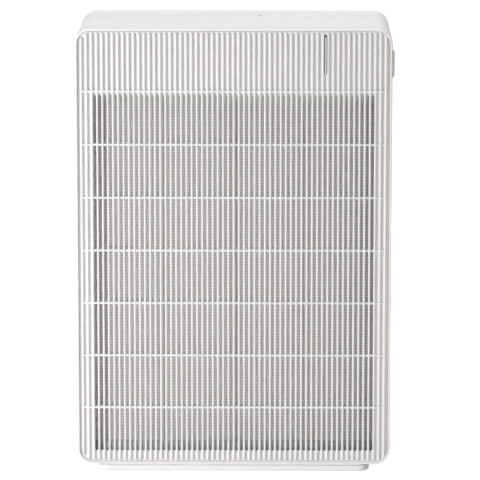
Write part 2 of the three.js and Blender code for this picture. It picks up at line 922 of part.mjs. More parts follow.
function motorMount() {
  const ring = latheY(
    [
      [motorRadius + 2 * gap, mountFront],
      [motorRadius + motorFlange + mountRim, mountFront],
      [motorRadius + motorFlange + mountRim, mountBack],
      [motorRadius + 2 * gap, mountBack],
    ],
    0,
    fanZ,
  );
  return cut(ring, ...motorScrewHoles(mountFront - over, mountBack + over));
}

// A pan-head screw along Y: headFace is the seat of its head, and it points towards -Y
function screwY(x, z, tip, headFace, shank, head) {
  const top = headFace + screwHeadHeight;
  const profile = [
    [0, tip],
    [shank, tip],
    [shank, headFace],
    [head, headFace],
    [head * headTaper, top],
    [0, top],
  ];
  return latheY(profile, x, z, smallSteps);
}

const nut = () => {
  const geometry = new THREE.CylinderGeometry(2 * shaftRadius, 2 * shaftRadius, nutHeight, 6);
  geometry.translate(0, hubFront - gap - nutHeight / 2, fanZ);
  return cut(
    solidOf(geometry),
    cylinderY(shaftRadius + gap, hubFront - nutHeight - 2 * over, hubFront + over, 0, fanZ, middleSteps),
  );
};

place("fan_guard", fanGuard(), darkPlastic);
place("inlet_bell", inletBell(), darkPlastic);
place("impeller", impeller(), darkPlastic);
place(
  "motor_shaft",
  cylinderY(shaftRadius, hubFront - shaftProud, motorFront - gap, 0, fanZ, middleSteps),
  steel,
);
place("hub_nut", nut(), steel);
place("motor", motor(), steel);
place("motor_mount", motorMount(), rubberGrey);
place("fan_scroll", fanScroll(), greyPlastic);
screwHoleAt(motorScrewRing, motorScrewCount, Math.PI / 2, (x, z) => [x, z]).forEach(
  ([x, z], i) => {
    const seat = motorFlangeBack + gap;
    const screw = screwY(x, z, scrollBack - motorScrewReach, seat, smallScrewShank, smallScrewHead);
    place("motor_screw_" + (i + 1), screw, steel);
  },
);

// Outlet duct: a hood from the scroll's mouth to the outlet in the rear cover
const outletHalf = insideHalf - outletSideInset;
const outletTop = height - outletTopDrop;
const outletBottom = outletTop - outletHeight;
const hoodBottom = ductTop + gap;
const hoodTop = outletTop + hoodRim;
const hoodBack = back - wall - 2 * gap;

function hoodOutline(inset) {
  const left = ductLeft - scrollWall + inset;
  const right = outletHalf + hoodRim - inset;
  return outline([
    [left, hoodBottom + inset],
    [ductRight + scrollWall - inset, hoodBottom + inset],
    [right, outletBottom - hoodRim + inset],
    [right, hoodTop - inset],
    [left, hoodTop - inset],
  ]);
}

function outletDuct() {
  const mouth = box(
    ductLeft - scrollWall + ductWall,
    ductRight + scrollWall - ductWall,
    scrollFront + ductWall,
    scrollBack - scrollWall,
    hoodBottom - over,
    hoodBottom + 2 * ductWall,
  );
  return cut(
    prismY(hoodOutline(0), scrollFront, hoodBack),
    prismY(hoodOutline(ductWall), scrollFront + ductWall, hoodBack + over),
    mouth,
  );
}

function outletGrille() {
  const x = outletHalf - gap;
  const z0 = outletBottom + gap;
  const z1 = outletTop - gap;
  const grilleFront = back - grilleDepth;
  const ring = grilleRing;
  let grille = cut(
    box(-x, x, grilleFront, back - gap, z0, z1),
    box(-x + ring, x - ring, grilleFront - over, back + over, z0 + ring, z1 - ring),
  );
  const vanePitch = (z1 - z0 - 2 * ring) / outletVanes;
  const middle = (grilleFront + back - gap) / 2;
  for (let i = 0; i < outletVanes; i++) {
    const vane = new THREE.BoxGeometry(2 * (x - ring) + over, vaneDepth, vaneThick);
    vane.rotateX(vaneTilt);
    vane.translate(0, middle, z0 + ring + (i + 0.5) * vanePitch);
    grille = grille.add(solidOf(vane));
  }
  for (let i = 1; i <= outletBars; i++) {
    const at = -x + (2 * x * i) / (outletBars + 1);
    const bar = box(
      at - grilleBarHalf,
      at + grilleBarHalf,
      grilleFront,
      grilleFront + 2 * grilleBarHalf,
      z0 + over,
      z1 - over,
    );
    grille = grille.add(bar);
  }
  return grille.intersect(box(-x, x, grilleFront, back - gap, z0, z1));
}

// Rear cover with its handle, gland and screws
const handleTop = insideTop - handleTopDrop + wall;
const handleBottom = handleTop - handleHeight;
const bossSpots = [-1, 1].flatMap((side) =>
  [bottom + bossRise, height - bossRise].map((z) => [side * (insideHalf - bossRadius + over), z]),
);
const headSeat = rearFront + seatRise;
const screwTip = mainBack - bossReach;
const glandX = half - glandSide;
const glandZ = bottom + glandRise;

function handleCup() {
  const x = handleWidth / 2 - gap;
  const inner = x - ductWall;
  const cupFront = back - handleDepth;
  return cut(
    box(-x, x, cupFront, back - gap, handleBottom + gap, handleTop - gap),
    box(
      -inner,
      inner,
      cupFront + ductWall,
      back + over,
      handleBottom + gap + ductWall,
      handleTop - gap - ductWall,
    ),
  );
}

function rearCover() {
  const tub = cut(
    prismY(housingOutline(0), rearFront, back),
    prismY(housingOutline(wall), rearFront - over, back - wall),
  );
  const bosses = bossSpots.map(([x, z]) =>
    cylinderY(bossRadius, rearFront, back - over, x, z, middleSteps),
  );
  const bores = bossSpots.flatMap(([x, z]) => [
    cylinderY(screwShank + gap, rearFront - over, back + over, x, z, smallSteps),
    cylinderY(screwHead + 2 * gap, headSeat, back + over, x, z, middleSteps),
  ]);
  const cutFront = back - openingReach;
  const outlet = box(-outletHalf, outletHalf, cutFront, back + over, outletBottom, outletTop);
  const handle = box(
    -handleWidth / 2,
    handleWidth / 2,
    cutFront,
    back + over,
    handleBottom,
    handleTop,
  );
  const gland = cylinderY(glandRadius + gap, cutFront, back + over, glandX, glandZ, middleSteps);
  const seatFront = back - wall / 2;
  const glandSeat = cylinderY(glandFlange + gap, seatFront, back + over, glandX, glandZ, middleSteps);
  return cut(join(tub, ...bosses), ...bores, outlet, handle, gland, glandSeat);
}

function cordGland() {
  const seat = back - wall / 2 + gap;
  const profile = [
    [glandBore, back - glandDepth],
    [glandRadius, back - glandDepth],
    [glandRadius, seat],
    [glandFlange, seat],
    [glandFlange, back - gap],
    [glandBore, back - gap],
  ];
  return latheY(profile, glandX, glandZ, middleSteps);
}

place("outlet_duct", outletDuct(), greyPlastic);
place("outlet_grille", outletGrille(), whitePlastic);
place("handle_cup", handleCup(), whitePlastic);
place("rear_cover", rearCover(), whitePlastic);
place("cord_gland", cordGland(), rubberGrey);
bossSpots.forEach(([x, z], i) => {
  const screw = screwY(x, z, screwTip + tipGap, headSeat + gap, screwShank, screwHead);
  place("rear_screw_" + (i + 1), screw, steel);
});

// Main housing: the middle ring of the case, with bosses for the rear and base screws
const baseScrewSpots = [-1, 1].flatMap((side) =>
  [mainFront + baseScrewFront, mainBack - baseScrewBack].map((y) => [
    side * (half - baseScrewSide),
    y,
  ]),
);
const baseBossTop = insideBottom + baseBossRise;
const keySpots = Array.from({ length: touchKeyCount }, (_, i) => [
  touchKeyStart + i * touchKeyPitch,
  mainBack - touchKeySetBack,
]);
const lightSensor = [lightSensorSide, mainBack - lightSensorSetBack];
const sensorX = insideHalf - sensorWidth;
const sensorZ = fanZ + sensorRise;
const sensorFront = scrollFront + sensorSetBack;

function mainHousing() {
  const ring = cut(
    prismY(housingOutline(0), mainFront, mainBack),
    prismY(housingOutline(wall), mainFront - over, mainBack + over),
  );
  const bosses = bossSpots.map(([x, z]) => cylinderY(bossRadius, screwTip, mainBack, x, z, middleSteps));
  const bores = bossSpots.map(([x, z]) =>
    cylinderY(screwShank + gap, screwTip + boreEnd, mainBack + over, x, z, smallSteps),
  );
  const baseBosses = baseScrewSpots.map(([x, y]) =>
    cylinderZ(baseBossRadius, bottom + over, baseBossTop, x, y, middleSteps),
  );
  const baseBores = baseScrewSpots.map(([x, y]) =>
    cylinderZ(screwShank + gap, bottom - over, baseBossTop - boreEnd, x, y),
  );
  const sensorHole = cylinderZ(
    lightSensorRadius + gap,
    insideTop - over,
    height + over,
    ...lightSensor,
    middleSteps,
  );
  const vents = Array.from({ length: ventCount }, (_, i) =>
    box(
      insideHalf - over,
      half + over,
      sensorFront + ventInset,
      sensorFront + sensorDepth - ventInset,
      sensorZ + ventRise + i * ventPitch,
      sensorZ + ventRise + ventHeight + i * ventPitch,
    ),
  );
  return cut(join(ring, ...bosses, ...baseBosses), ...bores, ...baseBores, sensorHole, ...vents);
}

place("main_housing", mainHousing(), whitePlastic);

// Base: plinth, rubber feet and screws
const plinthX = half - baseSideInset;
const plinthY = back - baseEndInset;
const plinthTop = baseHeight - gap;
const footSpots = [
  ["front_left", -1, -1],
  ["front_right", 1, -1],
  ["rear_left", -1, 1],
  ["rear_right", 1, 1],
].map(([name, sx, sy]) => [name, sx * (plinthX - footInset), sy * (plinthY - footInset)]);
const baseSeat = footProud + screwHeadHeight + baseSeatDepth;

function plinth() {
  const plan = (inset) =>
    roundedRect(
      -plinthX + inset,
      plinthX - inset,
      -plinthY + inset,
      plinthY - inset,
      baseCornerRadius - inset,
    );
  const chamferTop = footProud + baseBottomChamfer;
  let body = join(
    prismZ(plan(0), chamferTop, plinthTop - neckHeight),
    prismZ(plan(neckInset), chamferTop, plinthTop),
  );
  for (let i = 0; i < plinthSteps; i++) {
    const turn = ((i + 0.5) / plinthSteps) * (Math.PI / 2);
    const inset = baseBottomChamfer * (1 - Math.sin(turn));
    const z0 = chamferTop - baseBottomChamfer * Math.cos((i / plinthSteps) * (Math.PI / 2));
    body = body.add(prismZ(plan(inset), z0, chamferTop + sliceOverlap));
  }
  const footSeats = footSpots.map(([, x, y]) =>
    cylinderZ(footRadius + gap, footProud - over, footHeight + gap, x, y, middleSteps),
  );
  const screwSeats = baseScrewSpots.flatMap(([x, y]) => [
    cylinderZ(screwShank + gap, 0, baseHeight, x, y),
    cylinderZ(screwHead + 2 * gap, 0, baseSeat, x, y, middleSteps),
  ]);
  return cut(body, ...footSeats, ...screwSeats);
}

function baseScrew(x, y) {
  const profile = [
    [0, footProud + footClear],
    [screwHead * headTaper, footProud + footClear],
    [screwHead, baseSeat - gap],
    [screwShank, baseSeat - gap],
    [screwShank, baseBossTop - baseTipGap],
    [0, baseBossTop - baseTipGap],
  ];
  const geometry = new THREE.LatheGeometry(
    profile.map(([r, z]) => new THREE.Vector2(r, z)),
    smallSteps,
  );
  geometry.rotateX(Math.PI / 2);
  geometry.translate(x, y, 0);
  return solidOf(geometry);
}

place("base_plinth", plinth(), whitePlastic);
for (const [name, x, y] of footSpots)
  place("foot_" + name, cylinderZ(footRadius, 0, footHeight, x, y, middleSteps), rubberGrey);
baseScrewSpots.forEach(([x, y], i) => place("base_screw_" + (i + 1), baseScrew(x, y), steel));

// Electronics
const controlBoardZ = insideTop - controlBoardDrop;

function controlBoard() {
  const x1 = keySpots.at(-1)[0] + boardPastKeys;
  const y0 = keySpots[0][1] - boardFrontPastKeys;
  const y1 = lightSensor[1] + boardPastSensor;
  const board = box(
    lightSensor[0] - boardPastSensor,
    x1,
    y0,
    y1,
    controlBoardZ - boardThick,
    controlBoardZ,
  );
  const socket = box(
    x1 - socketInset - socketWidth,
    x1 - socketInset,
    y1 - socketSetIn - socketLength,
    y1 - socketSetIn,
    controlBoardZ - socketDrop,
    controlBoardZ - over,
  );
  return join(board, socket);
}

function touchSpring(x, y) {
  return cut(
    cylinderZ(springRadius, controlBoardZ + gap, insideTop - gap, x, y),
    cylinderZ(springRadius - springWall, controlBoardZ, insideTop, x, y),
  );
}

const powerBoardX = insideHalf - powerBoardSide;
const powerBoardZ = insideBottom + powerBoardRise;
const powerBoardFront = scrollFront + powerBoardSetBack;

function powerBoard() {
  const board = box(
    powerBoardX,
    powerBoardX + powerBoardWidth,
    powerBoardFront,
    powerBoardFront + boardThick,
    powerBoardZ,
    powerBoardZ + powerBoardHeight,
  );
  const blocks = powerBlocks.map(([x, z, w, h, d]) =>
    box(
      powerBoardX + x,
      powerBoardX + x + w,
      powerBoardFront + over,
      powerBoardFront + boardThick + d,
      powerBoardZ + z,
      powerBoardZ + z + h,
    ),
  );
  const capacitor = cylinderY(
    capacitorRadius,
    powerBoardFront + over,
    powerBoardFront + capacitorReach,
    powerBoardX + capacitorSpot[0],
    powerBoardZ + capacitorSpot[1],
    middleSteps,
  );
  return join(board, ...blocks, capacitor);
}

function cable(points) {
  const path = new THREE.CatmullRomCurve3(points.map((p) => new THREE.Vector3(...p)));
  const section = new THREE.Shape();
  section.absarc(0, 0, cableRadius, 0, 2 * Math.PI);
  const geometry = new THREE.ExtrudeGeometry(section, {
    extrudePath: path,
    steps: Math.ceil(path.getLength() / cableStep),
    curveSegments: cableSides,
  });
  return solidOf(geometry);
}

// The cables' routes, point by point
const boardFace = powerBoardFront + boardThick + gap;
const plugX = powerBoardX + 30;
const motorCable = [
  [motorRadius * 0.6, motorBack + gap, fanZ],
  [motorRadius * 0.6, motorBack + 5, fanZ],
  [motorRadius * 0.6 + 6, motorBack + 7, fanZ - 14],
  [plugX - 12, motorBack + 1, fanZ - 84],
  [plugX - 2, motorBack - 14, powerBoardZ + 44],
  [plugX, boardFace + 14, powerBoardZ + 36],
  [plugX, boardFace, powerBoardZ + 36],
];
const risePathX = insideHalf - 8;
const risePathY = sensorFront + sensorDepth + 8;
const controlPlug = [keySpots.at(-1)[0] + 7, lightSensor[1] - 2];
const controlCable = [
  [powerBoardX + 40, boardFace, powerBoardZ + 34],
  [powerBoardX + 40, boardFace + 10, powerBoardZ + 34],
  [risePathX, risePathY, powerBoardZ + 90],
  [risePathX, risePathY, sensorZ],
  [risePathX, risePathY, hoodTop - 16],
  [risePathX - 8, risePathY - 3, hoodTop + 7],
  [controlPlug[0], controlPlug[1], hoodTop + 10],
  [controlPlug[0], controlPlug[1], controlBoardZ - socketDrop - gap],
];

place("control_board", controlBoard(), boardGreen);
keySpots.forEach(([x, y], i) => place("touch_spring_" + (i + 1), touchSpring(x, y), steel));
place(
  "light_sensor_lens",
  cylinderZ(lightSensorRadius, insideTop - lensReach, height - lensSink, ...lightSensor, middleSteps),
  lensDark,
);
place(
  "status_led_board",
  box(
    lightX - ledBoardHalfWidth,
    lightX + ledBoardHalfWidth,
    ledBoardFront,
    ledBoardBack,
    ledBoardZ - ledBoardHalfHeight,
    ledBoardZ + ledBoardHalfHeight,
  ),
  boardGreen,
);
place("power_board", powerBoard(), boardGreen);
place(
  "particle_sensor",
  box(
    sensorX,
    insideHalf - gap,
    sensorFront,
    sensorFront + sensorDepth,
    sensorZ,
    sensorZ + sensorSize,
  ),
  darkPlastic,
);
place("motor_cable", cable(motorCable), cableBlack);
place("control_cable", cable(controlCable), cableBlack);

export default air_purifier;
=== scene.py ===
import math

import bmesh
import bpy
from mathutils import Matrix, Vector


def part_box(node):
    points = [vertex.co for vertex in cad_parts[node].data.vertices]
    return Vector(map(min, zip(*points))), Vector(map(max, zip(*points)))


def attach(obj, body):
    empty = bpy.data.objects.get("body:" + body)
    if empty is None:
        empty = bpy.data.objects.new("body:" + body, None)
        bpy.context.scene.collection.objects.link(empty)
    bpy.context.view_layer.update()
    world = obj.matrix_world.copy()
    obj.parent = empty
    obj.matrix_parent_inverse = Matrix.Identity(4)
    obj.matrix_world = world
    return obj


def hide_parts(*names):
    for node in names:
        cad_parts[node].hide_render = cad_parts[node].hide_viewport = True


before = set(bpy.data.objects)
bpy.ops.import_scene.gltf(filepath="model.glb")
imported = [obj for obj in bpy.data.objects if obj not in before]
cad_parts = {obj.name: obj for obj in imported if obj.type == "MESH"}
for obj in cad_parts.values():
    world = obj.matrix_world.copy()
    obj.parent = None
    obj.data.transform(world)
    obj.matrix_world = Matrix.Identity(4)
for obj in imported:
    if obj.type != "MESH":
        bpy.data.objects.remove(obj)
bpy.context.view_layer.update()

scene = bpy.context.scene
mm = 0.001
quarter = math.pi / 2


def addCamera():
    view = {"position": (0.0443, -3.9564, 0.9526), "pitchDown": 10.288, "yaw": 0.557, "lens": 284.0}
    camera = bpy.data.objects.new("camera", bpy.data.cameras.new("camera"))
    camera.data.lens = view["lens"]
    camera.data.sensor_width = 36
    camera.data.clip_end = 100
    camera.location = view["position"]
    camera.rotation_euler = (math.radians(90 - view["pitchDown"]), 0, math.radians(view["yaw"]))
    scene.collection.objects.link(camera)
    scene.camera = camera
    scene.view_settings.view_transform = "Standard"
    print("camera ready")


addCamera()


def linear(hexColour):
    # an sRGB hex colour as the linear RGBA that the shaders take
    parts = [int(hexColour[i:i + 2], 16) / 255 for i in (1, 3, 5)]
    return [c / 12.92 if c <= 0.04045 else ((c + 0.055) / 1.055) ** 2.4 for c in parts] + [1]


def setInputs(tree, node, inputs):
    # a socket is linked, anything else becomes the input's own value
    for key, value in inputs.items():
        if isinstance(value, bpy.types.NodeSocket):
            tree.links.new(value, node.inputs[key])
        else:
            node.inputs[key].default_value = value


def addNode(tree, kind, inputs=None, **settings):
    node = tree.nodes.new(kind)
    for key, value in settings.items():
        setattr(node, key, value)
    setInputs(tree, node, inputs or {})
    return node


def aim(source, target):
    source.rotation_euler = (Vector(target) - source.location).to_track_quat("-Z", "Y").to_euler()


def addLights():
    lamps = {
        "keySoftbox": {"place": (-1.20, -1.45, 0.25), "size": 0.25, "watts": 26.0},
        "rightFill": {"place": (1.10, -2.20, 0.50), "size": 0.90, "watts": 4.5},
        "tableBounce": {"place": (0.0, -0.60, 0.01), "size": 0.30, "watts": 0.30},
        "topFill": {"place": (0.0, 0.35, 1.9), "size": 1.4, "watts": 25.0},
    }
    for name, lamp in lamps.items():
        data = bpy.data.lights.new(name, "AREA")
        data.size = lamp["size"]
        data.energy = lamp["watts"]
        light = bpy.data.objects.new(name, data)
        light.location = lamp["place"]
        aim(light, (0, 0, 0.25))
        scene.collection.objects.link(light)
    world = bpy.data.worlds.new("studio")
    world.use_nodes = True
    background = world.node_tree.nodes["Background"]
    background.inputs["Color"].default_value = linear("#FFFFFF")
    background.inputs["Strength"].default_value = 0.31
    scene.world = world


def addFloor():
    half = 14.0
    corners = [(-half, -half, 0), (half, -half, 0), (half, half, 0), (-half, half, 0)]
    mesh = bpy.data.meshes.new("floor")
    mesh.from_pydata(corners, [], [(0, 1, 2, 3)])
    floor = bpy.data.objects.new("floor", mesh)
    scene.collection.objects.link(floor)
    paper = bpy.data.materials.new("whitePaperFloor")
    paper.use_nodes = True
    shader = paper.node_tree.nodes["Principled BSDF"]
    shader.inputs["Base Color"].default_value = linear("#F6F6F6")
    shader.inputs["Roughness"].default_value = 0.9
    shader.inputs["Specular IOR Level"].default_value = 0.1
    shader.inputs["Emission Color"].default_value = linear("#FFFFFF")
    shader.inputs["Emission Strength"].default_value = 0.74
    mesh.materials.append(paper)
    floor.visible_diffuse = False  # the white sheet doesn't light the object from below


addLights()
addFloor()
print("lights and floor ready")


def newMaterial(name, colour, roughness, metallic=0.0, ior=1.5):
    material = bpy.data.materials.new(name)
    material.use_nodes = True
    tree = material.node_tree
    shader = tree.nodes["Principled BSDF"]
    shader.inputs["Base Color"].default_value = linear(colour)
    shader.inputs["Roughness"].default_value = roughness
    shader.inputs["Metallic"].default_value = metallic
    if not metallic:
        shader.inputs["IOR"].default_value = ior
    return material, tree, shader


def mouldedPlastic(name, first, second, roughness, grainMm, depthMm, ior=1.53):
    # a slow drift of tone, a slightly uneven sheen and the grain of an eroded tool
    material, tree, shader = newMaterial(name, first, roughness, ior=ior)
    driftSize, flowSize, sheenSpread = 45 * mm, 6 * mm, 0.05
    point = addNode(tree, "ShaderNodeTexCoord").outputs["Object"]
    drift = addNode(tree, "ShaderNodeTexNoise", {"Vector": point, "Scale": 1 / driftSize, "Detail": 3.0})
    tone = addNode(tree, "ShaderNodeMix", {0: drift.outputs["Fac"], 6: linear(first), 7: linear(second)},
                   data_type="RGBA")
    flow = addNode(tree, "ShaderNodeTexNoise", {"Vector": point, "Scale": 1 / flowSize, "Detail": 3.0})
    sheen = addNode(tree, "ShaderNodeMapRange", {
        "Value": flow.outputs["Fac"], "To Min": roughness - sheenSpread, "To Max": roughness + sheenSpread,
    })
    grain = addNode(tree, "ShaderNodeTexNoise", {"Vector": point, "Scale": 1 / (grainMm * mm), "Detail": 3.0})
    relief = addNode(tree, "ShaderNodeBump", {"Height": grain.outputs["Fac"], "Distance": depthMm * mm})
    setInputs(tree, shader, {
        "Base Color": tone.outputs[2], "Roughness": sheen.outputs["Result"],
        "Normal": relief.outputs["Normal"],
    })
    return material


def filterPaper():
    # glass-fibre paper, laid: matt off-white with fine upright fibres
    material, tree, shader = newMaterial("glassFibrePaper", "#F1F0EA", 0.95)
    fibreWidth, uprightStretch = 0.6 * mm, 0.12
    point = addNode(tree, "ShaderNodeTexCoord").outputs["Object"]
    along = addNode(tree, "ShaderNodeMapping", {"Vector": point, "Scale": (1, 1, uprightStretch)})
    fibre = addNode(tree, "ShaderNodeTexNoise", {
        "Vector": along.outputs["Vector"], "Scale": 1 / fibreWidth, "Detail": 4.0,
    })
    tone = addNode(tree, "ShaderNodeMix", {0: fibre.outputs["Fac"], 6: linear("#E2E0D8"),
                                           7: linear("#F8F7F2")},
                   data_type="RGBA")
    relief = addNode(tree, "ShaderNodeBump", {"Height": fibre.outputs["Fac"], "Distance": 0.08 * mm})
    setInputs(tree, shader, {"Base Color": tone.outputs[2], "Normal": relief.outputs["Normal"]})
    return material


def filterCard():
    # pressed board of the cartridge's case: matt white with short flecks and a faint mottle
    material, tree, shader = newMaterial("pressedFilterBoard", "#E9E8E4", 0.85)
    fleckSize = 2.5 * mm
    point = addNode(tree, "ShaderNodeTexCoord").outputs["Object"]
    mottle = addNode(tree, "ShaderNodeTexNoise", {"Vector": point, "Scale": 1 / fleckSize, "Detail": 5.0})
    tone = addNode(tree, "ShaderNodeMix", {0: mottle.outputs["Fac"], 6: linear("#DEDCD6"),
                                           7: linear("#F2F1EE")},
                   data_type="RGBA")
    relief = addNode(tree, "ShaderNodeBump", {"Height": mottle.outputs["Fac"], "Distance": 0.04 * mm})
    setInputs(tree, shader, {"Base Color": tone.outputs[2], "Normal": relief.outputs["Normal"]})
    return material


def netCloth():
    # knitted nylon: a matt light grey cloth whose yarns lie 0.8 mm apart
    material, tree, shader = newMaterial("knittedNylonCloth", "#DCDAD8", 0.85)
    yarnPitch = 0.8 * mm
    point = addNode(tree, "ShaderNodeTexCoord").outputs["Object"]
    parts = addNode(tree, "ShaderNodeSeparateXYZ", {"Vector": point})
    waves = []
    for axis in ("X", "Z"):
        turns = addNode(tree, "ShaderNodeMath", {0: parts.outputs[axis], 1: 2 * math.pi / yarnPitch},
                        operation="MULTIPLY")
        waves.append(addNode(tree, "ShaderNodeMath", {0: turns.outputs[0]}, operation="SINE").outputs[0])
    weave = addNode(tree, "ShaderNodeMath", {0: waves[0], 1: waves[1]}, operation="ADD")
    share = addNode(tree, "ShaderNodeMapRange",
                    {"Value": weave.outputs[0], "From Min": -2.0, "From Max": 2.0})
    tone = addNode(tree, "ShaderNodeMix", {0: share.outputs["Result"], 6: linear("#D0CBCA"),
                                           7: linear("#DFDBDA")},
                   data_type="RGBA")
    relief = addNode(tree, "ShaderNodeBump", {"Height": share.outputs["Result"], "Distance": 0.15 * mm})
    setInputs(tree, shader, {"Base Color": tone.outputs[2], "Normal": relief.outputs["Normal"]})
    return material


def carbonGranules():
    # activated carbon: dull black grains about 1.5 mm across, lighter at their middles and darker towards the
    # hollows between them, which is painted shade
    material, tree, shader = newMaterial("granularCarbon", "#1C1C1E", 0.9)
    grainSize = 1.5 * mm
    point = addNode(tree, "ShaderNodeTexCoord").outputs["Object"]
    grains = addNode(tree, "ShaderNodeTexVoronoi", {"Vector": point, "Scale": 1 / grainSize})
    # painted shade: the tone darkens from each grain's middle towards the sunken gaps between grains
    tone = addNode(tree, "ShaderNodeMix", {0: grains.outputs["Distance"], 6: linear("#38383C"),
                                           7: linear("#08080A")},
                   data_type="RGBA")
    relief = addNode(tree, "ShaderNodeBump", {"Height": grains.outputs["Distance"], "Distance": 0.5 * mm},
                     invert=True)
    setInputs(tree, shader, {"Base Color": tone.outputs[2], "Normal": relief.outputs["Normal"]})
    return material


def platedMetal(name, first, second, roughness, stretch):
    # rolled or drawn metal: streaks along one direction vary its tone and its gloss
    material, tree, shader = newMaterial(name, first, roughness, metallic=1.0)
    streakWidth = 1.2 * mm
    point = addNode(tree, "ShaderNodeTexCoord").outputs["Object"]
    along = addNode(tree, "ShaderNodeMapping", {"Vector": point, "Scale": stretch})
    streak = addNode(tree, "ShaderNodeTexNoise", {
        "Vector": along.outputs["Vector"], "Scale": 1 / streakWidth, "Detail": 4.0,
    })
    tone = addNode(tree, "ShaderNodeMix", {0: streak.outputs["Fac"], 6: linear(first), 7: linear(second)},
                   data_type="RGBA")
    gloss = addNode(tree, "ShaderNodeMapRange", {
        "Value": streak.outputs["Fac"], "To Min": roughness - 0.08, "To Max": roughness + 0.12,
    })
    relief = addNode(tree, "ShaderNodeBump", {"Height": streak.outputs["Fac"], "Distance": 0.01 * mm})
    setInputs(tree, shader, {
        "Base Color": tone.outputs[2], "Roughness": gloss.outputs["Result"],
        "Normal": relief.outputs["Normal"],
    })
    return material


def solderMask():
    # solder-masked laminate: glossy green over copper tracks that stand a little proud
    material, tree, shader = newMaterial("solderMaskLaminate", "#1F5C38", 0.35)
    trackPitch = 2.2 * mm
    point = addNode(tree, "ShaderNodeTexCoord").outputs["Object"]
    tracks = addNode(tree, "ShaderNodeTexVoronoi", {"Vector": point, "Scale": 1 / trackPitch},
                     distance="CHEBYCHEV", feature="F1")
    edge = addNode(tree, "ShaderNodeMapRange",
                   {"Value": tracks.outputs["Distance"], "From Min": 0.35, "From Max": 0.45})
    tone = addNode(tree, "ShaderNodeMix", {0: edge.outputs["Result"], 6: linear("#2F7A4A"),
                                           7: linear("#1B5232")},
                   data_type="RGBA")
    relief = addNode(tree, "ShaderNodeBump", {"Height": edge.outputs["Result"], "Distance": 0.05 * mm},
                     invert=True)
    setInputs(tree, shader, {"Base Color": tone.outputs[2], "Normal": relief.outputs["Normal"]})
    return material


paint = {
    # ABS from a spark-eroded tool: satin, near white, with an even fine grain
    "whiteAbs": mouldedPlastic("whiteMouldedAbs", "#E5E3E2", "#E9E7E6", 0.42, 0.35, 0.012),
    # polypropylene inner mouldings: duller, with shallow flow marks
    "greyPolypropylene": mouldedPlastic("greyPolypropylene", "#C6C7C6", "#CDCECD", 0.55, 0.6, 0.02, 1.49),
    # glass-filled nylon: dark, with fibre speckle
    "darkNylon": mouldedPlastic("glassFilledNylon", "#333537", "#3C3E40", 0.58, 0.25, 0.03),
    # pre-filter frames: off-white polypropylene, a little warmer than the case
    "framePolypropylene": mouldedPlastic("offWhitePolypropylene", "#E6E5E1", "#EAE9E6", 0.5, 0.5, 0.015,
                                         1.49),
    "meshThread": mouldedPlastic("extrudedNylonThread", "#FAF9F8", "#FCFBFA", 0.6, 0.3, 0.01),
    "meshCloth": netCloth(),
    "filterPaper": filterPaper(),
    "filterCard": filterCard(),
    "carbon": carbonGranules(),
    # closed-cell foam: dull dark grey, open pores on the cut faces
    "foam": mouldedPlastic("closedCellFoam", "#55585A", "#606365", 0.95, 0.8, 0.15),
    # silicone rubber: matt, slightly dusty
    "rubber": mouldedPlastic("siliconeRubber", "#505355", "#5B5E60", 0.8, 0.4, 0.02, 1.41),
    "zincSteel": platedMetal("zincPlatedSteel", "#B9BCC0", "#C6C9CC", 0.32, (1, 1, 0.1)),
    "nickel": platedMetal("nickelPlate", "#A9ABAE", "#B8BABD", 0.2, (1, 1, 1)),
    "galvanised": platedMetal("galvanisedSheet", "#8D9194", "#A4A8AB", 0.42, (1, 1, 1)),
    "circuitBoard": solderMask(),
    # diffusing polycarbonate: smooth and milky
    "milkyLens": mouldedPlastic("diffusingPolycarbonate", "#DCD8D7", "#E0DDDC", 0.25, 2.0, 0.002, 1.58),
    "darkLens": mouldedPlastic("smokedPolycarbonate", "#1A1B1E", "#202124", 0.12, 2.0, 0.002, 1.58),
    # PVC sheath: soft black with a low sheen
    "cableSheath": mouldedPlastic("pvcSheath", "#1F2022", "#27282A", 0.5, 0.8, 0.01, 1.52),
    # polyamide glue beads across the pleats: translucent and slightly waxy
    "hotMelt": mouldedPlastic("hotMeltGlue", "#E8E4D8", "#EEEBE0", 0.4, 1.5, 0.02, 1.5),
    # pad-printed ink on the touch keys
    "paleInk": mouldedPlastic("padPrintedInk", "#BDBDBC", "#C3C3C2", 0.5, 0.5, 0.002),
}
print("materials ready:", len(paint))


def newPiece(name, verts, faces):
    mesh = bpy.data.meshes.new(name)
    mesh.from_pydata([tuple(v) for v in verts], [], faces)
    piece = bpy.data.objects.new(name, mesh)
    scene.collection.objects.link(piece)
    outward(piece)
    return piece


def outward(piece, merge=0.001 * mm):
    # doubles are merged and every face is turned outwards
    work = bmesh.new()
    work.from_mesh(piece.data)
    bmesh.ops.remove_doubles(work, verts=work.verts, dist=merge)
    bmesh.ops.recalc_face_normals(work, faces=work.faces)
    work.to_mesh(piece.data)
    work.free()


def smoothBelow(piece, degrees=35):
    mesh = piece.data
    mesh.polygons.foreach_set("use_smooth", [True] * len(mesh.polygons))
    mesh.set_sharp_from_angle(angle=math.radians(degrees))
    mesh.update()


def applyModifiers(piece):
    # the evaluated mesh takes the piece's place and no modifier is left
    graph = bpy.context.evaluated_depsgraph_get()
    graph.update()
    made = bpy.data.meshes.new_from_object(piece.evaluated_get(graph))
    piece.modifiers.clear()
    piece.data = made
    return piece


def joinPieces(name, pieces):
    # one mesh that holds all the pieces, which are removed
    work = bmesh.new()
    for piece in pieces:
        work.from_mesh(piece.data)
        bpy.data.objects.remove(piece)
    mesh = bpy.data.meshes.new(name)
    work.to_mesh(mesh)
    work.free()
    joined = bpy.data.objects.new(name, mesh)
    scene.collection.objects.link(joined)
    return joined


def cutAway(piece, cutters):
    # cutters may overlap each other, so they go one at a time
    for cutter in cutters:
        step = piece.modifiers.new("cut", "BOOLEAN")
        step.operation = "DIFFERENCE"
        step.solver = "EXACT"
        step.object = cutter
        applyModifiers(piece)
        bpy.data.objects.remove(cutter)
    return piece


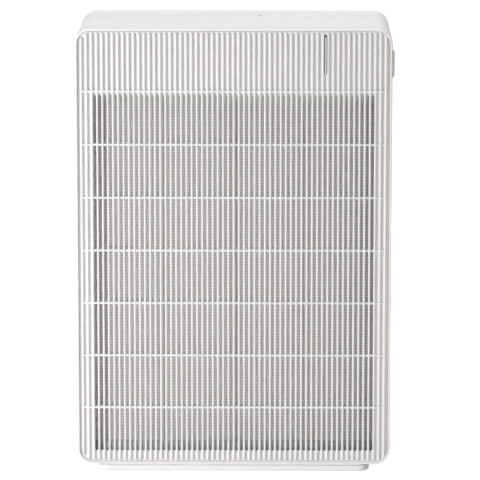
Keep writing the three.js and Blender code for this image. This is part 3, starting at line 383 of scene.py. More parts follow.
def bevelEdges(piece, radiusMm, segments=2, degrees=40):
    step = piece.modifiers.new("edges", "BEVEL")
    step.width = radiusMm * mm
    step.segments = segments
    step.limit_method = "ANGLE"
    step.angle_limit = math.radians(degrees)
    step.harden_normals = False
    return applyModifiers(piece)


def finish(piece, material, body, slot, *nodes, angle=35):
    piece.data.materials.clear()
    piece.data.materials.append(material)
    smoothBelow(piece, angle)
    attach(piece, body)
    if nodes:
        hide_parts(*nodes)
    return piece


def skin(rings, loop=False):
    # quads between rings of equal length; a loop joins the last ring to the first, else both ends are capped
    count = len(rings[0])
    verts = [point for ring in rings for point in ring]
    faces = []
    for i in range(len(rings) if loop else len(rings) - 1):
        a, b = i * count, (i + 1) % len(rings) * count
        faces += [(a + k, a + (k + 1) % count, b + (k + 1) % count, b + k) for k in range(count)]
    if not loop:
        faces += [tuple(range(count)), tuple(range(len(verts) - count, len(verts)))]
    return verts, faces


def roundedRing(x0, x1, z0, z1, radius, y, steps=12):
    # a rounded rectangle in X and Z at depth y
    radius = max(radius, 0.01 * mm)
    ring = []
    corners = [(x1 - radius, z0 + radius), (x1 - radius, z1 - radius),
               (x0 + radius, z1 - radius), (x0 + radius, z0 + radius)]
    for i, (cx, cz) in enumerate(corners):
        for k in range(steps + 1):
            turn = (i - 1 + k / steps) * quarter
            ring.append((cx + radius * math.cos(turn), y, cz + radius * math.sin(turn)))
    return ring


def layFlat(ring):
    # the same ring with its depth turned into height: (x, y, z) becomes (x, z, y)
    return [(x, z, y) for x, y, z in ring]


def arc(centre, radius, start, end, steps=4):
    # points on an arc in a profile's own two coordinates
    turns = [start + (end - start) * k / steps for k in range(steps + 1)]
    return [(centre[0] + radius * math.cos(t), centre[1] + radius * math.sin(t)) for t in turns]


def turned(name, profile, centre, axis="Y", steps=40):
    # a round piece: profile points are (radius, place along the axis), and centre is where the
    # axis lies in the other two directions
    rings = []
    for radius, along in profile:
        ring = []
        for k in range(steps):
            a, b = (radius * f(2 * math.pi * k / steps) for f in (math.cos, math.sin))
            spot = (centre[0] + a, along, centre[1] + b) if axis == "Y" else (centre[0] + a,
                                                                              centre[1] + b, along)
            ring.append(spot)
        rings.append(ring)
    closed = profile[0][0] > 0 and profile[-1][0] > 0
    verts, faces = skin(rings, loop=closed)
    if not closed:
        faces = faces[:-2]
    return newPiece(name, verts, faces)


def block(name, low, high, radiusMm=0.0, segments=2):
    # a straight block, its edges rounded
    spots = [(x, y, z) for z in (low[2], high[2]) for y in (low[1], high[1]) for x in (low[0], high[0])]
    faces = [(0, 1, 3, 2), (4, 5, 7, 6), (0, 1, 5, 4), (2, 3, 7, 6), (0, 2, 6, 4), (1, 3, 7, 5)]
    piece = newPiece(name, spots, faces)
    return bevelEdges(piece, radiusMm, segments) if radiusMm else piece


def softCopy(node, name, radiusMm, segments=2):
    # a CAD node's shape with its triangles merged and its edges rounded
    piece = bpy.data.objects.new(name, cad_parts[node].data.copy())
    scene.collection.objects.link(piece)
    piece.data.materials.clear()
    work = bmesh.new()
    work.from_mesh(piece.data)
    bmesh.ops.remove_doubles(work, verts=work.verts, dist=0.002 * mm)
    if radiusMm:
        bmesh.ops.dissolve_limit(work, angle_limit=math.radians(0.5), verts=work.verts, edges=work.edges)
    work.to_mesh(piece.data)
    work.free()
    return bevelEdges(piece, radiusMm, segments, 25) if radiusMm else piece


def newTree(name, sizes):
    # a Geometry Nodes tree whose inputs are the host mesh, the named sizes and the material
    tree = bpy.data.node_groups.new(name, "GeometryNodeTree")
    tree.interface.new_socket("Geometry", in_out="INPUT", socket_type="NodeSocketGeometry")
    for label, kind in sizes.items():
        tree.interface.new_socket(label, in_out="INPUT", socket_type="NodeSocket" + kind)
    tree.interface.new_socket("Material", in_out="INPUT", socket_type="NodeSocketMaterial")
    tree.interface.new_socket("Geometry", in_out="OUTPUT", socket_type="NodeSocketGeometry")
    return tree, addNode(tree, "NodeGroupInput").outputs


def endTree(tree, geometry, material):
    real = addNode(tree, "GeometryNodeRealizeInstances", {"Geometry": geometry})
    made = addNode(tree, "GeometryNodeSetMaterial", {"Geometry": real.outputs[0], "Material": material})
    addNode(tree, "NodeGroupOutput", {"Geometry": made.outputs[0]})


def runTree(piece, tree, values):
    step = piece.modifiers.new(tree.name, "NODES")
    step.node_group = tree
    sockets = {s.name: s.identifier for s in tree.interface.items_tree if s.in_out == "INPUT"}
    for label, value in values.items():
        step[sockets[label]] = value
    return applyModifiers(piece)


def rowTree():
    # copies of the host mesh in a straight row
    tree, given = newTree("straightRow", {"Count": "Int", "Step": "Vector"})
    line = addNode(tree, "GeometryNodeMeshLine", {"Count": given["Count"], "Offset": given["Step"]})
    copies = addNode(tree, "GeometryNodeInstanceOnPoints",
                     {"Points": line.outputs[0], "Instance": given["Geometry"]})
    endTree(tree, copies.outputs[0], given["Material"])
    return tree


def ribTree():
    # one rib at each pitch; its ends follow the rounded outline of the panel
    tree, given = newTree("outlineRibs", {
        "Count": "Int", "Pitch": "Float", "Half Width": "Float", "Top": "Float", "Bottom": "Float",
        "Corner Radius": "Float", "End Radius": "Float",
    })
    place = addNode(tree, "ShaderNodeSeparateXYZ",
                    {"Vector": addNode(tree, "GeometryNodeInputPosition").outputs[0]})
    # each step is an operation on two values, which are inputs of the tree, numbers or earlier steps
    steps = {
        "gaps": ("SUBTRACT", given["Count"], 1.0),
        "width": ("MULTIPLY", "gaps", given["Pitch"]),
        "start": ("MULTIPLY", "width", -0.5),
        "straight": ("SUBTRACT", given["Half Width"], given["Corner Radius"]),
        "side": ("ABSOLUTE", place.outputs["X"], 0.0),
        "past": ("SUBTRACT", "side", "straight"),
        "over": ("MAXIMUM", "past", 0.0),
        "overSquare": ("POWER", "over", 2.0),
        "radiusSquare": ("POWER", given["Corner Radius"], 2.0),
        "under": ("SUBTRACT", "radiusSquare", "overSquare"),
        "underClamped": ("MAXIMUM", "under", 0.0),
        "reach": ("SQRT", "underClamped", 0.0),
        "drop": ("SUBTRACT", given["Corner Radius"], "reach"),
        "ending": ("ADD", "drop", given["End Radius"]),
        "ribTop": ("SUBTRACT", given["Top"], "ending"),
        "ribLow": ("ADD", given["Bottom"], "ending"),
    }
    made = {}
    for label, (operation, first, second) in steps.items():
        values = [made[value] if isinstance(value, str) else value for value in (first, second)]
        made[label] = addNode(tree, "ShaderNodeMath", dict(enumerate(values)), operation=operation).outputs[0]
    startPoint = addNode(tree, "ShaderNodeCombineXYZ", {"X": made["start"]})
    stepVector = addNode(tree, "ShaderNodeCombineXYZ", {"X": given["Pitch"]})
    line = addNode(tree, "GeometryNodeMeshLine", {
        "Count": given["Count"], "Start Location": startPoint.outputs[0], "Offset": stepVector.outputs[0],
    })
    points = line.outputs[0]
    for label in ("ribTop", "ribLow"):
        points = addNode(tree, "GeometryNodeStoreNamedAttribute",
                         {"Geometry": points, "Name": label, "Value": made[label]}).outputs[0]
    copies = addNode(tree, "GeometryNodeInstanceOnPoints", {"Points": points, "Instance": given["Geometry"]})
    real = addNode(tree, "GeometryNodeRealizeInstances", {"Geometry": copies.outputs[0]})
    ends = [addNode(tree, "GeometryNodeInputNamedAttribute", {"Name": label}, data_type="FLOAT").outputs[0]
            for label in ("ribTop", "ribLow")]
    upper = addNode(tree, "FunctionNodeCompare", {0: place.outputs["Z"], 1: 0.0}, operation="GREATER_THAN")
    shift = addNode(tree, "GeometryNodeSwitch",
                    {"Switch": upper.outputs[0], "False": ends[1], "True": ends[0]}, input_type="FLOAT")
    lift = addNode(tree, "ShaderNodeCombineXYZ", {"Z": shift.outputs[0]})
    moved = addNode(tree, "GeometryNodeSetPosition", {"Geometry": real.outputs[0], "Offset": lift.outputs[0]})
    endTree(tree, moved.outputs[0], given["Material"])
    return tree


rowOfCopies = rowTree()


def ringTree():
    # copies of the host mesh, evenly turned about the line along Y through Centre
    tree, given = newTree("turnedRing", {"Count": "Int", "Centre": "Vector"})
    points = addNode(tree, "GeometryNodeMeshLine", {
        "Count": given["Count"], "Start Location": given["Centre"], "Offset": (0, 0, 0),
    })
    step = addNode(tree, "ShaderNodeMath", {0: 2 * math.pi, 1: given["Count"]}, operation="DIVIDE")
    index = addNode(tree, "GeometryNodeInputIndex")
    turn = addNode(tree, "ShaderNodeMath", {0: index.outputs[0], 1: step.outputs[0]}, operation="MULTIPLY")
    spin = addNode(tree, "ShaderNodeCombineXYZ", {"Y": turn.outputs[0]})
    copies = addNode(tree, "GeometryNodeInstanceOnPoints", {
        "Points": points.outputs[0], "Instance": given["Geometry"], "Rotation": spin.outputs[0],
    })
    endTree(tree, copies.outputs[0], given["Material"])
    return tree


def spotTree():
    # one copy of the Shape object's mesh at each point of the host mesh
    tree, given = newTree("copiesAtSpots", {"Shape": "Object"})
    shape = addNode(tree, "GeometryNodeObjectInfo", {"Object": given["Shape"]})
    copies = addNode(tree, "GeometryNodeInstanceOnPoints", {
        "Points": given["Geometry"], "Instance": shape.outputs["Geometry"],
    })
    endTree(tree, copies.outputs[0], given["Material"])
    return tree


ringOfCopies = ringTree()
copiesAtSpots = spotTree()


def middleOf(node):
    low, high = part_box(node)
    return (low + high) / 2


def copyTo(name, shape, spots, material):
    # the shape, made about the origin, goes to every spot and is then removed
    piece = runTree(newPiece(name, spots, []), copiesAtSpots, {"Shape": shape, "Material": material})
    bpy.data.objects.remove(shape)
    return piece


def tube(name, path, radius, sides=10):
    # a round rod along a path of vectors, closed at both ends
    rings, across = [], None
    for i, point in enumerate(path):
        ahead = (path[min(i + 1, len(path) - 1)] - path[max(i - 1, 0)]).normalized()
        across = ahead.orthogonal() if across is None else across - ahead * across.dot(ahead)
        across.normalize()
        third = ahead.cross(across)
        turns = [2 * math.pi * k / sides for k in range(sides)]
        rings.append([point + radius * (math.cos(t) * across + math.sin(t) * third) for t in turns])
    return newPiece(name, *skin(rings))


# the case outline is shared by the cover, the housing and the rear cover
caseShape = {"cornerRadius": 16 * mm, "wall": 2.4 * mm}
caseLow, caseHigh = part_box("front_cover_frame")
wall = caseShape["wall"]


def caseRing(inset, y):
    return roundedRing(caseLow.x + inset, caseHigh.x - inset, caseLow.z + inset, caseHigh.z - inset,
                       caseShape["cornerRadius"] - inset, y)


def caseShell(name, profile, loop=True):
    # a shell whose section, given as (inset, depth) points, follows the case outline
    verts, faces = skin([caseRing(inset, y) for inset, y in profile], loop)
    return newPiece(name, verts, faces)


coverFrame = {"frontRadius": 1.0 * mm, "innerRadius": 0.4 * mm, "backRadius": 0.35 * mm, "slotGap": 0.6 * mm,
              "ledgeWidth": 5.6 * mm, "ledgeThick": 1.6 * mm, "lugHalf": 5 * mm}


panelLow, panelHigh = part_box("front_grille")
panelInset = panelLow.x - caseLow.x


def buildCoverFrame():
    front, back = caseLow.y, caseHigh.y
    outer, inner, rear = coverFrame["frontRadius"], coverFrame["innerRadius"], coverFrame["backRadius"]
    profile = (
        arc((rear, back - rear), rear, quarter, math.pi)
        + arc((outer, front + outer), outer, math.pi, 3 * quarter, 6)
        + arc((wall - inner, front + inner), inner, -quarter, 0)
        + arc((wall - rear, back - rear), rear, 0, quarter)
    )
    shell = caseShell("coverFrame", profile)
    slots = []
    for side in (-1, 1):
        node = "pre_filter_frame_left" if side < 0 else "pre_filter_frame_right"
        low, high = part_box(node)
        gap = coverFrame["slotGap"]
        reach = sorted((side * (caseHigh.x - caseShape["cornerRadius"]), side * (caseHigh.x + 5 * mm)))
        slots.append(block("slotTool", (reach[0], low.y - gap, low.z - gap),
                           (reach[1], high.y + gap, high.z + gap)))
    cutAway(shell, slots)
    ledge = panelHigh.y + 0.3 * mm
    inside, reach = wall - 0.2 * mm, wall + coverFrame["ledgeWidth"]
    parts = [shell, caseShell("ledge", [(inside, ledge), (reach, ledge),
                                        (reach, ledge + coverFrame["ledgeThick"]),
                                        (inside, ledge + coverFrame["ledgeThick"])])]
    for side in ("left", "right"):
        low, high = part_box("cover_magnet_" + side)
        middle = (low + high) / 2
        lug = coverFrame["lugHalf"]
        parts.append(block("magnetLug", (middle.x - lug, low.y - 3.3 * mm, middle.z - lug),
                           (middle.x + lug, low.y - 0.3 * mm, caseHigh.z - wall / 2), 0.4))
    joinedFrame = joinPieces("coverFrame_", parts)
    finish(joinedFrame, paint["whiteAbs"], "front_cover", "white_plastic", "front_cover_frame")


panel = {
    "grooveDepth": 3.0 * mm, "rimWidth": 0.8 * mm, "edgeRadius": 0.35 * mm, "fillet": 2.0 * mm,
    "windowHalf": 145.56 * mm, "windowLow": 24.1 * mm, "windowHigh": 400.7 * mm,
    "ribCount": 59, "ribPitch": 5.43 * mm, "ribWidth": 2.1 * mm, "ribRound": 0.6 * mm, "ribEndDrop": 1.5 * mm,
    "barFirst": 404.9 * mm, "barPitch": 55.7 * mm, "barCount": 7, "barHeight": 2.2 * mm,
    "barRecess": 0.35 * mm,
}
grooveFloor = panelLow.y + panel["grooveDepth"]


def buildPanelPlate():
    # above and below the grooves a rim stands at full height and slopes down to their floor;
    # the sides have none
    edge, fillet = panel["edgeRadius"], panel["fillet"]
    rimEnd = panelInset + panel["rimWidth"]
    depth = panel["grooveDepth"]
    slope = [(rimEnd + fillet * (1 - math.cos(t)), panelLow.y + depth * math.sin(t))
             for t in (quarter * k / 6 for k in range(1, 7))]
    rim = (
        [(panelInset, panelHigh.y)]
        + arc((panelInset + edge, panelLow.y + edge), edge, math.pi, 3 * quarter)
        + [(rimEnd, panelLow.y)]
        + slope
    )
    rings = []
    for i, (inset, y) in enumerate(rim):
        sideInset = panelInset + 0.05 * mm * i
        tall, flat = caseRing(inset, y), caseRing(sideInset, max(y, grooveFloor))
        shares = [abs(math.sin((corner - 1 + k / 12) * quarter)) for corner in range(4) for k in range(13)]
        rings.append([Vector(b).lerp(Vector(a), share) for a, b, share in zip(tall, flat, shares)])
    half, low, high = panel["windowHalf"], panel["windowLow"], panel["windowHigh"]
    for y in (grooveFloor, panelHigh.y):
        rings.append(roundedRing(-half, half, low, high, 0.6 * mm, y))
    verts, faces = skin(rings, loop=True)
    return newPiece("panelPlate", verts, faces)


def capsuleRing(halfWidth, y, steps=6):
    # a stadium outline of no straight length, upper half first
    ring = []
    for part in (0, 1):
        for k in range(steps + 1):
            turn = (part + k / steps) * math.pi
            lift = 0.01 * mm * (1 if part == 0 else -1)
            ring.append((halfWidth * math.cos(turn), y, halfWidth * math.sin(turn) + lift))
    return ring


def buildRibs():
    half, edge = panel["ribWidth"] / 2, panel["ribRound"]
    rings = [capsuleRing(half, grooveFloor + 0.1 * mm), capsuleRing(half, panelLow.y + edge)]
    for k in range(1, 4):
        turn = quarter * k / 3
        rings.append(capsuleRing(half - edge * (1 - math.cos(turn)),
                                 panelLow.y + edge * (1 - math.sin(turn))))
    verts, faces = skin(rings)
    rib = newPiece("ribs", verts, faces)
    inset = panel["ribEndDrop"]
    return runTree(rib, ribTree(), {
        "Count": panel["ribCount"], "Pitch": panel["ribPitch"],
        "Half Width": panelHigh.x - inset, "Top": panelHigh.z - inset, "Bottom": panelLow.z + inset,
        "Corner Radius": caseShape["cornerRadius"] - panelInset - inset, "End Radius": half,
        "Material": paint["whiteAbs"],
    })


def buildBars():
    reach = (panel["ribCount"] - 1) / 2 * panel["ribPitch"]
    height = panel["barHeight"]
    bar = block("bars", (-reach, panelLow.y + panel["barRecess"], -height / 2),
                (reach, panelHigh.y, height / 2), 0.5)
    bar.data.transform(Matrix.Translation((0, 0, panel["barFirst"])))
    return runTree(bar, rowOfCopies, {
        "Count": panel["barCount"], "Step": (0, 0, -panel["barPitch"]), "Material": paint["whiteAbs"],
    })


def buildFrontPanel():
    plate = buildPanelPlate()
    low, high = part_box("status_light_lens")
    gap = 0.3 * mm
    slot = block("slotTool", (low.x - gap, panelLow.y - mm, high.z - 40 * mm - gap),
                 (high.x + gap, panelHigh.y + mm, high.z + gap))
    cutAway(plate, [slot])
    joined = joinPieces("frontPanel", [plate, buildRibs(), buildBars()])
    finish(joined, paint["whiteAbs"], "front_cover", "white_plastic", "front_grille")


lens = {
    "length": 40 * mm, "halfWidth": 0.85 * mm, "behindPanel": 1.2 * mm, "prongHalf": 4 * mm,
    "sleeveHalf": 1.66 * mm, "sleeveTop": 1.0 * mm, "sleeveSink": 1.1 * mm, "sleeveGap": 0.02 * mm,
    "sleeveEnd": 0.2 * mm, "sleeveTaper": 2.6, "tipRound": 0.4 * mm, "tipStep": 0.12 * mm,
    "prongSoft": 0.3,
}


def buildLens():
    low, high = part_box("status_light_lens")
    half, tip, step = lens["halfWidth"], lens["tipRound"], lens["tipStep"]
    middle, bottom, top = (low.x + high.x) / 2, high.z - lens["length"], high.z - lens["sleeveTop"]
    rings = [roundedRing(middle - half + inset, middle + half - inset, bottom + inset, top - inset,
                         half - inset, y, 6)
             for inset, y in ((0, panelHigh.y + lens["behindPanel"]), (0, low.y + tip),
                              (step, low.y + step), (tip, low.y))]
    bar = newPiece("lightBar", *skin(rings))
    boardLow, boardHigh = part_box("status_led_board")
    middleZ = (boardLow.z + boardHigh.z) / 2
    reach = lens["prongHalf"]
    prong = block("prong", (middle - half, panelHigh.y, middleZ - reach),
                  (middle + half, high.y, middleZ + reach), lens["prongSoft"])
    joined = joinPieces("statusLightLens", [bar, prong])
    finish(joined, paint["milkyLens"], "front_cover", "milky_lens", "status_light_lens")
    # a dark sleeve round the lens is painted shade: it fills the gap beside the lens, which is only in shade,
    # keeps the light out of the grooves beside it and shows as a thin dark line round the lens
    outer, sink = lens["sleeveHalf"], low.y + lens["sleeveSink"]
    wide, end = outer - half - lens["sleeveGap"], lens["sleeveEnd"]
    section = [(0, panelHigh.y), (0, sink), (wide, sink), (wide, panelHigh.y)]
    sleeve = newPiece("lightSleeve", *skin([
        roundedRing(middle - outer + inset, middle + outer - inset, bottom - end + inset,
                    high.z + end - inset * lens["sleeveTaper"],
                    outer - inset, y, 6)
        for inset, y in section
    ], loop=True))
    finish(sleeve, paint["darkNylon"], "front_cover", "dark_plastic")


buildCoverFrame()
buildFrontPanel()
buildLens()
for end in ("upper", "lower"):
    rail = softCopy("pre_filter_rail_" + end, "preFilterRail_" + end, 0.3)
    finish(rail, paint["greyPolypropylene"], "front_cover", "grey_plastic", "pre_filter_rail_" + end)
for side in ("left", "right"):
    magnet = softCopy("cover_magnet_" + side, "coverMagnet_" + side, 0.4)
    finish(magnet, paint["nickel"], "front_cover", "magnet", "cover_magnet_" + side)
    strike = softCopy("magnet_strike_" + side, "magnetStrike_" + side, 0.2)
    finish(strike, paint["zincSteel"], "housing", "steel", "magnet_strike_" + side)
print("front cover ready")


# the net's threads are drawn 1 mm wide, coarser than real ones, so that they show behind the ribs
preFilter = {"threadPitch": 3.2 * mm, "threadWidth": 1.0 * mm, "threadSoft": 0.12, "clothThick": 0.3 * mm,
             "clothSoft": 0.1, "frameSoft": 0.4}


def buildPreFilter(side):
    body = "pre_filter_" + side
    shell = softCopy("pre_filter_frame_" + side, "preFilterFrame_" + side, preFilter["frameSoft"])
    finish(shell, paint["framePolypropylene"], body, "pre_filter_plastic", "pre_filter_frame_" + side)
    low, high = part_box("pre_filter_net_" + side)
    thick, pitch, soft = preFilter["threadWidth"] / 2, preFilter["threadPitch"], preFilter["threadSoft"]
    upright = block("uprights", (low.x, low.y, low.z), (low.x + 2 * thick, low.y + thick, high.z), soft, 1)
    across = block("acrosses", (low.x, low.y, low.z), (high.x, low.y + thick, low.z + 2 * thick), soft, 1)
    columns = int((high.x - low.x) / pitch)
    rows = int((high.z - low.z) / pitch)
    upright = runTree(upright, rowOfCopies, {"Count": columns + 1, "Step": (pitch, 0, 0),
                                             "Material": paint["meshThread"]})
    across = runTree(across, rowOfCopies, {"Count": rows + 1, "Step": (0, 0, pitch),
                                           "Material": paint["meshThread"]})
    threads = joinPieces("netThreads_" + side, [upright, across])
    finish(threads, paint["meshThread"], body, "net", "pre_filter_net_" + side)
    cloth = block("netCloth_" + side, (low.x, low.y + thick, low.z),
                  (high.x, low.y + thick + preFilter["clothThick"], high.z), preFilter["clothSoft"])
    finish(cloth, paint["meshCloth"], body, "net")


for side in ("left", "right"):
    buildPreFilter(side)
print("pre-filters ready")


keyMarks = {"ink": 0.6 * mm, "sink": 0.2 * mm, "ringRadius": 4.2 * mm}


def flatMark(name, outlines, z0, z1):
    # upright prisms on closed outlines of (x, y) points; each outline is a quad strip of two equal sides
    verts, faces = [], []
    for inner, outer in outlines:
        count, base = len(inner), len(verts)
        verts += [(x, y, z) for z in (z0, z1) for x, y in inner + outer]
        low, high = base, base + 2 * count
        for k in range(count - 1):
            a, b, c, d = k, k + 1, count + k + 1, count + k
            faces += [(low + a, low + b, low + c, low + d), (high + a, high + b, high + c, high + d)]
            faces += [(low + a, low + b, high + b, high + a), (low + d, low + c, high + c, high + d)]
        for k in (0, count - 1):
            faces.append((low + k, low + count + k, high + count + k, high + k))
    return newPiece(name, verts, faces)


def keyOutlines():
    # three touch keys, one mark each: power, airflow and timer
    line, radius = keyMarks["ink"], keyMarks["ringRadius"]
    spots = []
    for i in range(3):
        low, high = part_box("touch_spring_%d" % (i + 1))
        spots.append(((low.x + high.x) / 2, (low.y + high.y) / 2))
    outlines = []
    for (x, y), start, end in ((spots[0], 0.72 * math.pi, 2.28 * math.pi), (spots[2], 0.0, 1.9 * math.pi)):
        outlines.append((arc((x, y), radius - line, start, end, 24), arc((x, y), radius, start, end, 24)))
    bars = [(spots[0], 0, 1.0, 0.6, 4.8), (spots[2], 0, 0.2, 0.6, 2.6), (spots[1], 0, -2.6, 7.4, 0.6),
            (spots[1], -0.6, -0.3, 8.6, 0.6), (spots[1], 0.4, 2.0, 6.6, 0.6)]
    for (x, y), shiftX, shiftY, wide, tall in bars:
        x0, x1 = x + (shiftX - wide / 2) * mm, x + (shiftX + wide / 2) * mm
        y0, y1 = y + shiftY * mm, y + (shiftY + tall) * mm
        outlines.append(([(x0, y0), (x0, y1)], [(x1, y0), (x1, y1)]))
    return outlines


housing = {"edgeRadius": 0.5 * mm}


def buildMainHousing():
    low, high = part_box("main_housing")
    edge = housing["edgeRadius"]
    profile = (
        arc((edge, high.y - edge), edge, quarter, math.pi)
        + arc((edge, low.y + edge), edge, math.pi, 3 * quarter)
        + [(wall, low.y), (wall, high.y)]
    )
    shell = caseShell("mainHousing", profile)
    tools = []
    sensorLow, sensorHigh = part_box("particle_sensor")
    for k in range(5):
        z = sensorLow.z + (9 + 4 * k) * mm
        tools.append(block("ventTool", (high.x - 4 * mm, sensorLow.y + 5 * mm, z),
                           (high.x + mm, sensorHigh.y - 5 * mm, z + 1.6 * mm)))
    eyeLow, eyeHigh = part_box("light_sensor_lens")
    middle = ((eyeLow.x + eyeHigh.x) / 2, (eyeLow.y + eyeHigh.y) / 2)
    radius = (eyeHigh.x - eyeLow.x) / 2 + 0.3 * mm
    tools.append(turned("eyeTool", [(0, high.z - 4 * mm), (radius, high.z - 4 * mm),
                                    (radius, high.z + mm), (0, high.z + mm)],
                        middle, "Z", 24))
    cutAway(shell, tools + [flatMark("markTool", keyOutlines(), high.z - keyMarks["sink"], high.z + mm)])
    finish(shell, paint["whiteAbs"], "housing", "white_plastic", "main_housing")


rearShape = {"backRadius": 2.5 * mm, "edgeRadius": 0.5 * mm, "screwHead": 2.7 * mm,
             "bore": 2.2 * mm, "well": 4.8 * mm, "boss": 6.5 * mm}
rearScrewNodes = ["rear_screw_%d" % i for i in (1, 2, 3, 4)]


def buildRearCover():
    low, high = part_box("rear_cover")
    back, edge = rearShape["backRadius"], rearShape["edgeRadius"]
    profile = (
        [(wall, high.y - wall), (wall, low.y)]
        + arc((edge, low.y + edge), edge, 3 * quarter, math.pi)
        + arc((back, high.y - back), back, math.pi, quarter, 6)
    )
    shell = caseShell("rearCover", profile, loop=False)
    tools = []
    for node, gap in (("outlet_grille", 0.3), ("handle_cup", 0.3)):
        a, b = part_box(node)
        grow = gap * mm
        rings = [roundedRing(a.x - grow, b.x + grow, a.z - grow, b.z + grow, 3 * mm, y, 6)
                 for y in (high.y - 8 * mm, high.y + mm)]
        tools.append(newPiece("openingTool", *skin(rings)))
    tools.append(roundTool("cord_gland", 0.3, high.y - 8 * mm, high.y + mm))
    tools += [roundTool(node, 0.6, high.y - 8 * mm, high.y + mm) for node in rearScrewNodes]
    cutAway(shell, tools)
    screwLow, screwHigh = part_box("rear_screw_1")
    seat = screwHigh.y - rearShape["screwHead"]
    bore, well, outer = rearShape["bore"], rearShape["well"], rearShape["boss"]
    boss = turned("boss", [(bore, low.y), (outer, low.y), (outer, high.y - mm), (well, high.y - mm),
                           (well, seat), (bore, seat)],
                  (0, 0), "Y", 32)
    spots = [(middleOf(node).x, 0, middleOf(node).z) for node in rearScrewNodes]
    shell = joinPieces("rearCover_", [shell, copyTo("bosses", boss, spots, paint["whiteAbs"])])
    finish(shell, paint["whiteAbs"], "housing", "white_plastic", "rear_cover")


def roundTool(node, gapMm, start, end):
    low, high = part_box(node)
    radius = (high.x - low.x) / 2 + gapMm * mm
    centre = ((low.x + high.x) / 2, (low.z + high.z) / 2)
    return turned("roundTool", [(0, start), (radius, start), (radius, end), (0, end)], centre, "Y", 32)


buildMainHousing()
buildRearCover()
print("case ready")

plinth = {
    "cornerRadius": 12 * mm, "lowerRadius": 1.6 * mm, "upperRadius": 0.4 * mm,
    "neckInset": 3 * mm, "neckHeight": 2.5 * mm,
}


def buildPlinth():
    low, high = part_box("base_plinth")
    lower, upper = plinth["lowerRadius"], plinth["upperRadius"]
    profile = (
        arc((lower, low.z + lower), lower, 3 * quarter, math.pi, 6)
        + arc((upper, high.z - plinth["neckHeight"] - upper), upper, math.pi, quarter)
        + [(plinth["neckInset"], high.z - plinth["neckHeight"]), (plinth["neckInset"], high.z)]
    )
    rings = [layFlat(roundedRing(low.x + inset, high.x - inset, low.y + inset, high.y - inset,
                                 plinth["cornerRadius"] - inset, z)) for inset, z in profile]
    piece = newPiece("basePlinth", *skin(rings))
    finish(piece, paint["whiteAbs"], "housing", "white_plastic", "base_plinth")


buildPlinth()

def buildKeyMarks():
    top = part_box("main_housing")[1].z
    ink = flatMark("touchKeyMarks", keyOutlines(), top - keyMarks["sink"], top - 0.03 * mm)
    finish(ink, paint["paleInk"], "housing", "white_plastic")


grille = {"ringWidth": 3 * mm, "vaneCount": 8, "vaneThick": 1.6 * mm, "vaneDepth": 6.2 * mm, "vaneTilt": 32,
          "barCount": 4, "barWidth": 2 * mm, "barDepth": 2 * mm, "barEndInset": 1.5 * mm, "barSoft": 0.4,
          "ringSoft": 0.5 * mm, "corner": 3 * mm, "cornerTaper": 0.8, "vaneSoft": 0.5,
          "vaneOverlap": 0.4 * mm}


def buildOutletGrille():
    low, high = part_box("outlet_grille")
    ring, soft, end = grille["ringWidth"], grille["ringSoft"], grille["barEndInset"]
    section = (
        [(ring, high.y), (soft, high.y)] + arc((soft, low.y + soft), soft, math.pi, 3 * quarter)
        + arc((ring - soft, low.y + soft), soft, -quarter, 0)
    )
    section[1:1] = [(ring - soft, high.y)]
    outletFrame = newPiece("outletRing", *skin([
        roundedRing(low.x + inset, high.x - inset, low.z + inset, high.z - inset,
                    grille["corner"] - inset * grille["cornerTaper"], y, 6)
        for inset, y in section
    ], loop=True))
    reach = (high.x - low.x) / 2 - ring + grille["vaneOverlap"]
    thick, deep = grille["vaneThick"] / 2, grille["vaneDepth"] / 2
    vane = block("outletVane", (-reach, -deep, -thick), (reach, deep, thick), grille["vaneSoft"])
    pitch = (high.z - low.z - 2 * ring) / grille["vaneCount"]
    middleY = (low.y + high.y) / 2
    vane.data.transform(Matrix.Translation((0, middleY, low.z + ring + pitch / 2))
                        @ Matrix.Rotation(math.radians(grille["vaneTilt"]), 4, "X"))
    vanes = runTree(vane, rowOfCopies, {"Count": grille["vaneCount"], "Step": (0, 0, pitch),
                                        "Material": paint["whiteAbs"]})
    span = high.x - low.x
    first = low.x + span / (grille["barCount"] + 1)
    half = grille["barWidth"] / 2
    bar = block("outletBar", (first - half, low.y, low.z + end),
                (first + half, low.y + grille["barDepth"], high.z - end), grille["barSoft"])
    bars = runTree(bar, rowOfCopies, {
        "Count": grille["barCount"], "Step": (span / (grille["barCount"] + 1), 0, 0),
        "Material": paint["whiteAbs"],
    })
    finish(joinPieces("outletGrille", [outletFrame, vanes, bars]), paint["whiteAbs"], "housing",
           "white_plastic", "outlet_grille")


# the groove's points are their distances in from the rim and down from the face, in mm
glandShape = {"boreRadius": 3.5 * mm, "neckRadius": 6 * mm, "flangeThick": 0.6 * mm, "rimRound": 0.4 * mm,
              "lipRound": 0.5 * mm, "groove": ((2.2, 0), (2.6, 0.4), (3.4, 0.4), (3.8, 0))}


def buildGland():
    low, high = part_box("cord_gland")
    outer, inner = (high.x - low.x) / 2, glandShape["boreRadius"]
    middle = middleOf("cord_gland")
    neck, seat = glandShape["neckRadius"], high.y - glandShape["flangeThick"]
    rim, lip = glandShape["rimRound"], glandShape["lipRound"]
    profile = (
        [(inner, low.y), (neck, low.y), (neck, seat), (outer, seat)]
        + arc((outer - rim, high.y - rim), rim, 0, quarter)
        + [(outer - inset * mm, high.y - drop * mm) for inset, drop in glandShape["groove"]]
        + arc((inner + lip, high.y - lip), lip, quarter, math.pi)
    )
    gland = turned("cordGland", profile, (middle.x, middle.z), "Y", 48)
    finish(gland, paint["rubber"], "housing", "rubber", "cord_gland")


# the thread's pitch and rise are lengths, and the rest are shares of the shank's or the head's size
screwForm = {"pitch": 0.9 * mm, "rise": 0.45 * mm, "firstTurn": 0.3, "root": 0.78, "tip": 0.5, "neck": 0.8,
             "rimDrop": 0.75, "crossReach": 0.6, "crossHalf": 0.1, "crossDepth": 0.6}


